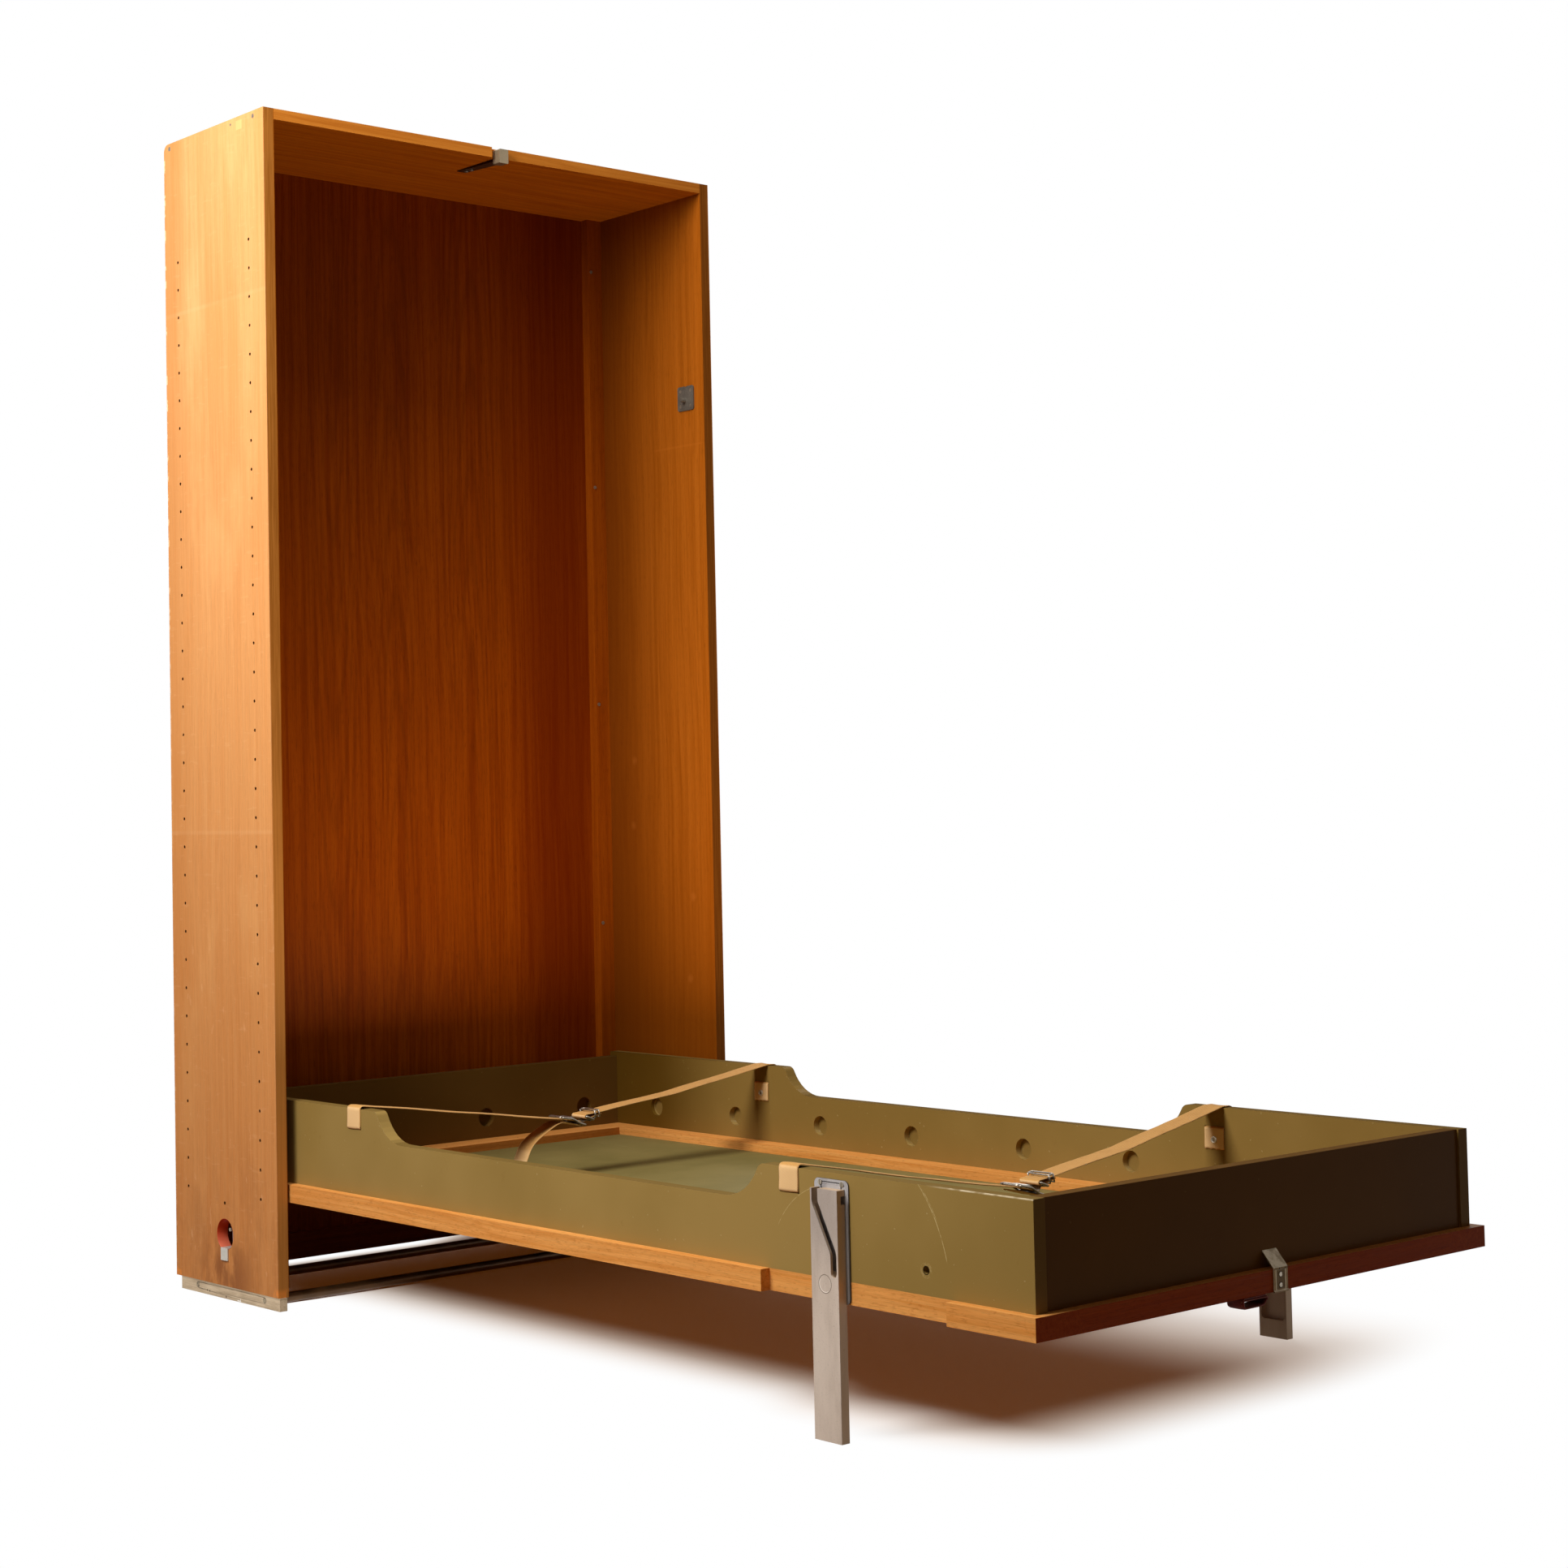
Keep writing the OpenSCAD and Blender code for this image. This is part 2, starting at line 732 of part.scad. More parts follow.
// Axis point, outward angle and radius along the wire, in the spring's own frame
function wire_at(i) =
    let (f = i / spring_steps, ramp = min(1, min(i, spring_steps - i) / curl_rings))
    [coil_r * ramp * cos(i * 360 / curl_rings), coil_r * ramp * sin(i * 360 / curl_rings),
     lead + wire_d + coil_l * f];

wire_path = concat([[0, 0, lead]], [for (i = [0 : spring_steps]) wire_at(i)],
                   [[0, 0, spring_span - lead]]);

function wire_angle(i) = (min(max(i - 1, 0), spring_steps)) * 360 / curl_rings;

function ring_points(p, i) =
    let (n = len(p),
         t = unit(i == 0 ? p[1] - p[0] : i == n - 1 ? p[n - 1] - p[n - 2] : p[i + 1] - p[i - 1]),
         e = [cos(wire_angle(i)), sin(wire_angle(i)), 0],
         a = unit(e - (e * t) * t),
         b = cross(t, a))
    [for (k = [0 : wire_sides - 1]) let (w = 360 * k / wire_sides)
        p[i] + wire_d / 2 * (a * cos(w) + b * sin(w))];

module tube(p) {
    n = len(p);
    s = wire_sides;
    pts = [for (i = [0 : n - 1]) each ring_points(p, i)];
    sides = [for (i = [0 : n - 2], k = [0 : s - 1]) let (j = (k + 1) % s)
        each [[i * s + k, i * s + j, (i + 1) * s + k], [i * s + j, (i + 1) * s + j, (i + 1) * s + k]]];
    start = [for (k = [1 : s - 2]) [0, k + 1, k]];
    end = [for (k = [1 : s - 2]) [(n - 1) * s, (n - 1) * s + k, (n - 1) * s + k + 1]];
    polyhedron(points = pts, faces = [for (f = concat(sides, start, end)) [f[0], f[2], f[1]]]);
}

// Least gap between points of the wire's middle line one curl or more apart
curl_gap = min([for (i = [2 * curl_rings : 3 * curl_rings], j = [i + curl_rings - 2 : i + curl_rings + 2])
    norm(wire_path[j] - wire_path[i])]) - wire_d;
echo(least_spring_gap = curl_gap);

module spring() {
    translate([-spring_x, spring_foot[0], spring_foot[1]]) rotate([-spring_tilt, 0, 0]) tube(wire_path);
}

module left_spring() { color(steel) placed() spring(); }
module right_spring() { color(steel) placed() mirrored() spring(); }

// Latch on the cabinet top

module place_leaf_screws() {
    for (y = [leaf_hinge_y - leaf_screw_off, leaf_hinge_y + leaf_screw_off])
        translate([0, y, leaf_top(y) - leaf_t - leaf_screw_drop]) to_floor() children();
}

function leaf_top(y) = leaf_front_z + (y - latch_back) * leaf_slope;

module leaf_screws() { color(steel) placed() place_leaf_screws() screw(leaf_screw); }

module latch_block() {
    color(nickel) placed() along_y(latch_front, latch_back)
        translate([0, latch_low + latch_h / 2]) rounded_rect(latch_w, latch_h, 2);
}

module latch_leaf() {
    play = 1;
    color(steel) placed() difference() {
        along_x(-latch_w / 2, latch_w / 2) polygon([
            [latch_back, leaf_top(latch_back)], [leaf_rear_y, leaf_top(leaf_rear_y)],
            [leaf_rear_y, leaf_top(leaf_rear_y) - leaf_t], [latch_back, leaf_top(latch_back) - leaf_t]]);
        for (y = [leaf_hinge_y - leaf_screw_off, leaf_hinge_y + leaf_screw_off])
            translate([0, y, leaf_top(y) - leaf_t - play])
                cylinder(d = leaf_screw[2] + 2 * play, h = leaf_t + 2 * play, $fn = 24);
    }
}

// Batten frame of the tray

module batten_joint(out) {
    polygon([
        [-out, bed_clear], [-batten_in + joint_lean, bed_clear], [-batten_in, bed_top], [-out, bed_top]]);
}

module side_batten() {
    over = 1;
    difference() {
        union() {
            block([-batten_out, -batten_in], [foot_y, head_y], [bed_clear, bed_top]);
            along_y(foot_y, foot_y + batten_w) batten_joint(batten_in + batten_w / 2);
        }
        block([-batten_out - over, -board_out],
              [leg_y - foot_swing - foot_room, leg_y + leg_swing + recess_gap],
              [bed_clear - over, bed_top + over]);
        block([-batten_out - over, -board_out],
              [relief_y, head_y + over],
              [bed_clear - over, bed_top + over]);
        place_low_plate_screws() screw_hole(flush_screw);
    }
}

module left_batten() { color(batten_tan) placed() side_batten(); }
module right_batten() { color(batten_tan) placed() mirrored() side_batten(); }

module head_batten() {
    color(batten_tan) placed()
        block([-batten_in, batten_in], [head_y - batten_w, head_y], [bed_clear, bed_top]);
}

module foot_batten() {
    low = batten_in - joint_lean;
    color(batten_tan) placed() difference() {
        along_y(foot_y, foot_y + batten_w) polygon([
            [-low, bed_clear], [low, bed_clear], [batten_in, bed_top], [-batten_in, bed_top]]);
        place_hook_screws() screw_hole(flush_screw);
        place_pull_screws() screw_hole(plate_screw);
    }
}

module inner_sheet(z0, t) {
    block([-batten_in, batten_in], [foot_y + batten_w, head_y - batten_w], [z0, z0 + t]);
}

module front_panel() { color(teak) placed() inner_sheet(bed_clear, front_panel_t); }
module base_panel() { color(sheet_green) placed() inner_sheet(bed_clear + front_panel_t, base_panel_t); }

// Boards round the mattress

module board_outline() {
    polygon(concat(
        [[side_foot_y, bed_top], [head_y, bed_top], [head_y, board_top]],
        arc(low_far_y + shoulder_dy, shoulder_z, shoulder_r, 90, 180 - sweep_a),
        arc(low_far_y, sweep_z, cut_r, -sweep_a, -90),
        arc(low_near_y, sweep_z, cut_r, -90, sweep_a - 180),
        arc(low_near_y - shoulder_dy, shoulder_z, shoulder_r, sweep_a, 90),
        [[side_foot_y, board_top]]));
}

module side_board() {
    over = 1;
    tray_mid = head_board_y - tray_l / 2;
    difference() {
        along_x(-board_out, -board_in) board_outline();
        for (dy = recess_at)
            rod_x(-board_in - recess_depth, -board_in + over, tray_mid + dy, recess_z, recess_d, 48);
        for (y = [rear_y, front_y])
            block([-board_out - over, -board_in + over],
                  [y - strap_w / 2 - slot_play, y + strap_w / 2 + slot_play],
                  [strap_z - slot_h / 2, strap_z + slot_h / 2]);
        rod_x(-board_out - over, -board_out + pivot_grip + 1, pivot_y, pivot_z, pivot_d + 2 * fit);
        rod_x(-board_out - over, -board_out + spring_grip + 1, spring_head[0], spring_head[1],
              spring_stud_d + 2 * fit);
        rod_x(-board_out - over, -board_out + catch_d, catch_y, leg_z + leg_w / 2 + catch_d, catch_d);
        place_high_plate_screws() screw_hole(plate_screw);
        place_strap_screws() screw_hole(plate_screw);
    }
}

module left_side_board() { color(olive) placed() side_board(); }
module right_side_board() { color(olive) placed() mirrored() side_board(); }

module end_board(y, h, face) {
    over = 1;
    difference() {
        block([-board_in, board_in], [y, y + board_t], [bed_top, bed_top + h]);
        for (x = [-1.5, -0.5, 0.5, 1.5])
            rod_y(face > 0 ? y + board_t - recess_depth : y - over,
                  face > 0 ? y + board_t + over : y + recess_depth,
                  x * recess_pitch, recess_z, recess_d, 48);
    }
}

module head_board() { color(olive) placed() end_board(head_board_y, board_h - head_drop, -1); }
module foot_board() { color(olive) placed() end_board(foot_board_y, board_h, 1); }

// Hook and leather pull on the foot batten

module place_hook_screws() {
    for (z = hook_screw_z)
        translate([0, foot_y - hook_t + hook_groove_t, z]) to_front() children();
}

module foot_hook() {
    knee = 0.4;
    back = foot_board_y - run;
    slope = ramp_rise / (back - foot_y);
    lean = hook_t * sqrt(1 + slope * slope);
    over = 1;
    color(nickel) placed() difference() {
        along_x(-hook_w / 2, hook_w / 2) polygon([
            [foot_y, hook_low], [foot_y, bed_top + knee], [back, bed_top + knee + ramp_rise],
            [back, bed_top + knee + ramp_rise + lean], [foot_y - hook_t, bed_top + knee + hook_t / 2],
            [foot_y - hook_t, hook_low + hook_toe], [foot_y - hook_t - hook_lip, hook_low + hook_toe_t],
            [foot_y - hook_t - hook_lip, hook_low]]);
        block([-hook_groove / 2, hook_groove / 2], [foot_y - hook_t - over, foot_y - hook_t + hook_groove_t],
              [hook_low + 4, bed_top - 2]);
        place_hook_screws() screw_hole(hook_screw);
    }
}

module place_pull_screws() {
    for (x = [pull_x - pull_tab / 2 - pull_t, pull_x - pull_l + pull_tab / 2 + pull_t])
        translate([x, pull_y, bed_clear - pull_t - 2 * lie]) to_floor() children();
}

module foot_screws() {
    color(steel) placed() {
        place_hook_screws() screw(hook_screw);
        place_pull_screws() screw(plate_screw);
    }
}

module pull_handle() {
    half = pull_t / 2;
    x0 = pull_x - half;
    x1 = pull_x - pull_l + half;
    top = bed_clear - half - lie;
    low = bed_clear - pull_drop + half;
    bend = pull_bend;
    path = concat(
        [[x0 - pull_tab, top], [x0, top], [x0, top - bend], [x0 - 1.6 * bend, low + pull_sag]],
        [[x0 - 3 * bend, low], [x1 + bend, low]],
        arc(x1 + bend, low + bend, bend, -100, -180, 6),
        [[x1, top], [x1 + pull_tab, top]]);
    color(leather) placed() difference() {
        along_y(pull_y - pull_w / 2, pull_y + pull_w / 2) polygon(band(path, pull_t));
        place_pull_screws() screw_hole(plate_screw);
    }
}

// Leg plates, pins and legs

module place_high_plate_screws() {
    for (s = [-1, 1])
        translate([-board_out - leg_plate_t, leg_y + s * (leg_plate_w / 2 - plate_screw_in),
                   leg_z + leg_swing + plate_screw[0] / 2 + run]) to_left() children();
}

module place_low_plate_screws() {
    for (s = [-1, 1])
        translate([-board_out - leg_plate_t + flush_screw[1], leg_y + s * (leg_plate_w / 2 - plate_screw_in),
                   bed_clear + low_screw_up]) to_left() children();
}

module leg_plate() {
    low = bed_clear;
    over = 1;
    mid_z = (leg_plate_top + low) / 2;
    difference() {
        along_x(-board_out - leg_plate_t, -board_out) translate([leg_y, mid_z])
            rounded_rect(leg_plate_w, leg_plate_top - low, plate_corner);
        rod_x(-board_out - 2 * leg_plate_t, -board_out + over, leg_y, leg_z, leg_pin_d + 2 * fit);
        place_high_plate_screws() screw_hole(plate_screw);
        place_low_plate_screws() screw_hole(flush_screw, over);
    }
}

module left_leg_plate() { color(worn_steel) placed() leg_plate(); }
module right_leg_plate() { color(worn_steel) placed() mirrored() leg_plate(); }

module leg_plate_screws() {
    color(brass) placed() both_sides() {
        place_high_plate_screws() screw(plate_screw);
        place_low_plate_screws() screw(flush_screw);
    }
}

module leg_pin() {
    rod_x(-leg_out, -board_out, leg_y, leg_z, leg_pin_d);
    rod_x(-leg_out, -leg_out + leg_wall / 2, leg_y, leg_z, leg_pin_head, 48);
}

module left_leg_pin() { color(steel) placed() leg_pin(); }
module right_leg_pin() { color(steel) placed() mirrored() leg_pin(); }

// Middle line of the cam slot, from its open top to its closed end
slot_path = concat(
    [[slot_top_w, leg_top + slot_w]],
    arc(slot_top_w - slot_knee, high_knee_v, slot_knee, 0, -slot_lean),
    arc(-slot_end_w + slot_knee, low_knee_v, slot_knee, 180 - slot_lean, 180),
    [[-slot_end_w, slot_end_v]]);

module leg_pocket() {
    w = leg_w - 2 * leg_wall;
    low = leg_foot - leg_z;
    high = leg_top - leg_wall;
    difference() {
        translate([0, (low + high) / 2]) rounded_rect(w, high - low, leg_pocket_r);
        circle(leg_boss, $fn = 48);
    }
}

module leg() {
    over = 1;
    translate([0, leg_y, leg_z]) difference() {
        along_x(-leg_out, -leg_in) translate([-leg_w / 2, -leg_z]) square([leg_w, leg_z + leg_top]);
        along_x(-leg_out + leg_wall, -leg_in + over) leg_pocket();
        along_x(-leg_out - over, -leg_in + over) union() {
            polygon(band(slot_path, slot_w));
            translate([-slot_end_w, slot_end_v]) circle(d = slot_w, $fn = 48);
        }
        rod_x(-leg_out - over, -leg_in + over, 0, 0, leg_pin_d + 2 * fit);
        rod_x(-leg_out - over, -leg_out + leg_wall / 2 + fit, 0, 0, leg_pin_head + 2 * fit, 48);
        block([-leg_out + leg_t / 2, -leg_in + over], [-leg_w / 2 - over, -leg_w / 2 + leg_wall + over],
              [leg_top - leg_wall - leg_notch_down - leg_notch, leg_top - leg_wall - leg_notch_down]);
    }
}

module left_leg() { color(steel) placed() leg(); }
module right_leg() { color(steel) placed() mirrored() leg(); }

// Mattress straps and their buckles

// A buckle's own measures, along the strap and square to it, turned into X and Z
function at_buckle(b, s, n) =
    [b[0] + s * cos(buckle_lean) + n * sin(buckle_lean), b[1] - s * sin(buckle_lean) + n * cos(buckle_lean)];

// From a screwed tab inside the board, out through its slot, over its top and in to the buckle
function strap_start(side) =
    let (off = strap_t / 2 + lie,
         x_in = board_in - off,
         x_out = board_out + off)
    [[side * x_in, strap_z - strap_tab], [side * x_in, strap_z], [side * x_out, strap_z],
     [side * x_out, board_top + off], [side * (x_in - strap_turn), board_top + off]];

function strap_run(from, to, knots) =
    [for (k = knots) from + (to - from) * k[0] + [0, k[1]]];

// Tail knots are [run away from the buckle, share of the drop to the sheet]
function tail_point(from, p) =
    let (floor = sheet_top + strap_t / 2 + run)
    [from[0] - p[0], from[1] + (floor - from[1]) * p[1]];

function near_path(b, knots, tail) =
    let (s = strap_start(-1), to = at_buckle(b, -buckle_fore, 0))
    concat(s, strap_run(s[4], to, knots), [to, at_buckle(b, -3, 0)],
           [for (a = [90 : -30 : -90]) at_buckle(b, wrap_r * cos(a), wrap_r * sin(a) - wrap_r)],
           tail == [] ? [at_buckle(b, -fold_l, -2 * wrap_r)]
                      : [for (p = tail) tail_point(at_buckle(b, 0, -2 * wrap_r), p)]);

function far_path(b, knots) =
    let (s = strap_start(1), to = at_buckle(b, buckle_aft + far_lead, far_lift))
    concat(s, strap_run(s[4], to, knots), [to],
           [for (a = [90 : 30 : 270]) at_buckle(b, buckle_aft + wrap_r * cos(a), wrap_r * sin(a) - wrap_r)],
           [at_buckle(b, buckle_aft + fold_l, far_open - 2 * wrap_r)]);

module strap_part(y, path) {
    difference() {
        along_y(y - strap_w / 2, y + strap_w / 2) polygon(band(path, strap_t));
        both_sides() place_strap_screws() screw_hole(plate_screw);
    }
}

module rear_strap_near() {
    color(webbing) placed() strap_part(rear_y, near_path(rear_buckle_at, rear_near_knots, rear_tail));
}

module rear_strap_far() {
    color(webbing) placed() strap_part(rear_y, far_path(rear_buckle_at, rear_far_knots));
}

module front_strap_near() {
    color(webbing) placed() strap_part(front_y, near_path(front_buckle_at, front_near_knots, []));
}

module front_strap_far() {
    color(webbing) placed() strap_part(front_y, far_path(front_buckle_at, front_far_knots));
}

// Screws face the tray's middle; they are placed on the left board and mirrored for the right
module place_strap_screws() {
    for (y = [rear_y, front_y])
        translate([-board_in + strap_t + 2 * lie, y, strap_z - strap_tab / 2 - 3]) to_right() children();
}

module strap_screws() { color(steel) placed() both_sides() place_strap_screws() screw(plate_screw); }

// Three-bar slide on the near strap, linked by a clasp to the frame in the far strap's fold
module buckle(y, b) {
    slide = concat([for (u = slide_bars) at_buckle(b, u, wrap_r)],
                   [at_buckle(b, 0, -wrap_r), at_buckle(b, link_bar, -wrap_r)]);
    frame = [at_buckle(b, clasp_bar, -wrap_r), at_buckle(b, buckle_aft, -wrap_r)];
    buckle_frame(y, slide);
    buckle_frame(y, frame);
    along_y(y - clasp_w / 2, y + clasp_w / 2) polygon(band(clasp_path(b), clasp_t));
}

module buckle_frame(y, bars) {
    mid = strap_w / 2 + run + rail_w / 2;
    for (p = bars) rod_y(y - mid, y + mid, p[0], p[1], 2 * buckle_r);
    for (s = [-1, 1])
        along_y(y + s * mid - rail_w / 2, y + s * mid + rail_w / 2) polygon(band(bars, rail_h));
}

// Round the frame's bar, across, and hooked over the slide's last bar
function clasp_path(b) = concat(
    [for (a = [-90 : 30 : 90]) at_buckle(b, clasp_bar + clasp_r * cos(a), clasp_r * sin(a) - wrap_r)],
    [for (a = [90 : 30 : 240]) at_buckle(b, link_bar + clasp_r * cos(a), clasp_r * sin(a) - wrap_r)]);

module rear_buckle() { color(steel) placed() buckle(rear_y, rear_buckle_at); }
module front_buckle() { color(steel) placed() buckle(front_y, front_buckle_at); }

left_side_panel();
right_side_panel();
top_panel();
back_panel();
left_back_cleat();
right_back_cleat();
back_rail();
cleat_screws();
top_screws();
left_skid();
right_skid();
rod_bolts();
front_base_rod();
rear_base_rod();
left_pivot_plate();
right_pivot_plate();
left_cam_plate();
right_cam_plate();
cam_plate_screws();
left_spring_anchor();
right_spring_anchor();
left_anchor_strap();
right_anchor_strap();
anchor_bolts();
left_spring();
right_spring();
leaf_screws();
left_side_board();
right_side_board();
head_board();
foot_board();
left_batten();
right_batten();
head_batten();
foot_batten();
base_panel();
front_panel();
foot_hook();
foot_screws();
pull_handle();
left_leg_plate();
right_leg_plate();
leg_plate_screws();
left_leg_pin();
right_leg_pin();
left_pivot_socket();
right_pivot_socket();
spring_studs();
rear_strap_near();
rear_strap_far();
front_strap_near();
front_strap_far();
rear_buckle();
front_buckle();
strap_screws();
left_leg();
right_leg();
latch_block();
latch_leaf();
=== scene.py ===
import math
from functools import partialmethod

import bmesh
import bpy
from mathutils import Matrix, Vector


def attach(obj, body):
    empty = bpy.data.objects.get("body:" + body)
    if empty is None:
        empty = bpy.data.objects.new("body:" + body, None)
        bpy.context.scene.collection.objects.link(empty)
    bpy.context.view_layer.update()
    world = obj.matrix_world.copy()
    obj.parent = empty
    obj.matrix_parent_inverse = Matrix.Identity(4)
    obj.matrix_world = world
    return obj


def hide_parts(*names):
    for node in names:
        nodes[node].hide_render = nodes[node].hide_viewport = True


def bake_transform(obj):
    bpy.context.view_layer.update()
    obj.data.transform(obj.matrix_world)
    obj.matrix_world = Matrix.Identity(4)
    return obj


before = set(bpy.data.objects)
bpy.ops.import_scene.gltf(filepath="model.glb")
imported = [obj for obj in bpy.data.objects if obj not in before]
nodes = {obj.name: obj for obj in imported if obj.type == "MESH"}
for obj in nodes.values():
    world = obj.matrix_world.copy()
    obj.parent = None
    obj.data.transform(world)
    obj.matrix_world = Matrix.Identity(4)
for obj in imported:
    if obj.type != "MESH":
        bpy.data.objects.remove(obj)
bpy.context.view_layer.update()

# Places of the CAD in the row frame, in metres: cabinet front, side panels, side boards and battens,
# leg pin and access hole, then the leg's inner wall, half its plate's width, rod bolts, springs and pull
FY = 0.6841
PANEL_OUT = 0.501
PANEL_IN = 0.480
PANEL_TOP = 2.054
BOARD_OUT = 0.459
BOARD_IN = 0.438
BOARD_TOP = 0.350
BED_TOP = 0.210
LEG_Y = -0.6509
LEG_Z = 0.206
ACCESS_Y = 0.174 + FY
ACCESS_Z = 0.1105
LEG_WALL = 0.4748
LEG_PLATE_HALF = 0.033
ROD_BOLT_Z = 0.0132
SPRING_X = 0.4695
PULL_Y = -1.0101

# Width of the mattress straps and of the leather pull
STRAP_W = 0.038
PULL_W = 0.028

# Camera, fitted to the photo
CAMERA_AT = (-2.8806, -3.2703, 0.8433)
YAW, PITCH, ROLL = (math.radians(a) for a in (40.873, 2.4426, -1.1781))
LENS = 61.382
SHIFT = (0.03221, -0.06135)

WHITE = (1, 1, 1, 1)
BLACK = (0, 0, 0, 1)


def lin(r, g, b):
    """Screen colour, 0 to 255, as the linear colour that nodes take."""
    out = []
    for c in (r, g, b):
        c /= 255
        out.append(c / 12.92 if c <= 0.04045 else ((c + 0.055) / 1.055) ** 2.4)
    return (*out, 1.0)


def darker(colour, share):
    return (*(c * share for c in colour[:3]), 1)


def make_camera():
    data = bpy.data.cameras.new("camera")
    data.lens = LENS
    data.sensor_width = 36
    data.shift_x, data.shift_y = SHIFT
    data.clip_end = 200
    fwd = Vector((math.sin(YAW) * math.cos(PITCH), math.cos(YAW) * math.cos(PITCH), math.sin(PITCH)))
    right = Vector((math.cos(YAW), -math.sin(YAW), 0))
    up = right.cross(fwd)
    right, up = right * math.cos(ROLL) + up * math.sin(ROLL), up * math.cos(ROLL) - right * math.sin(ROLL)
    ob = bpy.data.objects.new("camera", data)
    ob.matrix_world = Matrix([(right[i], up[i], -fwd[i], CAMERA_AT[i]) for i in range(3)] + [(0, 0, 0, 1)])
    bpy.context.scene.collection.objects.link(ob)
    bpy.context.scene.camera = ob


make_camera()


class Shade:
    """A node material built step by step from the piece's own coordinates, in metres.

    colour holds its paint so far."""

    def __init__(self, name, rough=0.5, metal=0.0, spec=0.5, coord="Object"):
        self.mat = bpy.data.materials.new(name)
        self.mat.use_nodes = True
        self.tree = self.mat.node_tree
        self.tree.nodes.clear()
        self.out = self.node("ShaderNodeOutputMaterial")
        self.bsdf = self.node("ShaderNodeBsdfPrincipled")
        self.join(self.bsdf.outputs["BSDF"], self.out.inputs["Surface"])
        tex = self.node("ShaderNodeTexCoord")
        self.place = tex.outputs[coord]
        self.put("Roughness", rough)
        self.put("Metallic", metal)
        self.put("Specular IOR Level", spec)
        self.x, self.y, self.z = self.split(self.place)
        self.nx, self.ny, self.nz = self.split(tex.outputs["Normal"])
        self.colour = WHITE

    def node(self, kind, **props):
        n = self.tree.nodes.new(kind)
        for key, value in props.items():
            setattr(n, key, value)
        return n

    def join(self, a, b):
        self.tree.links.new(a, b)

    def fill(self, sockets, *values):
        """Joins or sets the first sockets in turn."""
        for socket, value in zip(sockets, values):
            if isinstance(value, bpy.types.NodeSocket):
                self.join(value, socket)
            else:
                socket.default_value = value

    def put(self, name, value):
        self.fill([self.bsdf.inputs[name]], value)

    def split(self, vector):
        n = self.node("ShaderNodeSeparateXYZ")
        self.join(vector, n.inputs[0])
        return n.outputs[:]

    def vector(self, x, y, z):
        n = self.node("ShaderNodeCombineXYZ")
        self.fill(n.inputs, x, y, z)
        return n.outputs[0]

    def math(self, op, *values, clamp=False):
        n = self.node("ShaderNodeMath", operation=op, use_clamp=clamp)
        self.fill(n.inputs, *values)
        return n.outputs[0]

    mul = partialmethod(math, "MULTIPLY")
    add = partialmethod(math, "ADD")
    sub = partialmethod(math, "SUBTRACT")
    div = partialmethod(math, "DIVIDE")
    most = partialmethod(math, "MAXIMUM")
    abs = partialmethod(math, "ABSOLUTE")

    def hypot(self, a, b):
        return self.math("SQRT", self.add(self.mul(a, a), self.mul(b, b)))

    def step(self, value, low, high, to_low=0.0, to_high=1.0):
        """Smooth step of value from low to high."""
        n = self.node("ShaderNodeMapRange", interpolation_type="SMOOTHSTEP")
        self.fill(n.inputs, value, low, high, to_low, to_high)
        return n.outputs[0]

    def fall(self, value, low, high):
        """Smooth step down, from 1 at low to 0 at high."""
        return self.step(value, low, high, 1.0, 0.0)

    def band(self, value, low, high, soft):
        """1 between low and high, falling to 0 over soft on both sides."""
        return self.mul(self.step(value, low - soft, low), self.fall(value, high, high + soft))

    def mix(self, fac, a, b, blend="MIX"):
        n = self.node("ShaderNodeMix", data_type="RGBA", blend_type=blend)
        self.fill([n.inputs[0], n.inputs[6], n.inputs[7]], fac, a, b)
        return n.outputs[2]

    def paint(self, mask, colour):
        self.colour = self.mix(mask, self.colour, colour)

    def coat(self, mask, r, g, b, share=None):
        """Lays a screen colour over the paint where mask is 1, to a share if given."""
        self.paint(self.mul(mask, share) if share else mask, lin(r, g, b))

    def tint(self, by, mask=None):
        """Multiplies the paint by a colour, all of it or by the mask."""
        tinted = self.mix(1.0, self.colour, by, "MULTIPLY")
        self.colour = self.mix(mask, self.colour, tinted) if mask else tinted

    def noise(self, scale, detail=2.0, rough=0.5, at=None):
        n = self.node("ShaderNodeTexNoise")
        self.join(at or self.place, n.inputs["Vector"])
        for name, value in (("Scale", scale), ("Detail", detail), ("Roughness", rough)):
            n.inputs[name].default_value = value
        return n.outputs["Fac"]

    def along(self, axis):
        """Coordinates across, across and along a grain that runs along axis."""
        x, y, z = self.x, self.y, self.z
        return {"x": (y, z, x), "y": (x, z, y), "z": (x, y, z)}[axis]

    def grain(self, sa, sb, sg, seed, detail=2.0, rough=0.5, axis="z", at=None):
        """Noise with a scale of its own for each of the three coordinates along an axis, or at a place."""
        a, b, g = at or self.along(axis)
        at = self.vector(*(self.math("MULTIPLY_ADD", c, scale, seed * share)
                           for c, scale, share in ((a, sa, 1), (b, sb, 0.7), (g, sg, 0.3))))
        return self.noise(1.0, detail, rough, at)

    def grey(self, fac, low, high):
        """fac from 0 to 1 as a grey factor colour from low to high."""
        n = self.node("ShaderNodeValToRGB")
        self.join(fac, n.inputs[0])
        for item, level in zip(n.color_ramp.elements, (low, high)):
            item.color = (level, level, level, 1)
        return n.outputs[0]

    def arris(self, low=0.80, high=0.97):
        """1 on bevelled edges and 0 on faces square to an axis."""
        top = self.most(self.most(self.abs(self.nx), self.abs(self.ny)), self.abs(self.nz))
        return self.fall(top, low, high)

    def bump(self, height, strength, distance):
        n = self.node("ShaderNodeBump")
        n.inputs["Strength"].default_value = strength
        n.inputs["Distance"].default_value = distance
        self.join(height, n.inputs["Height"])
        self.put("Normal", n.outputs[0])

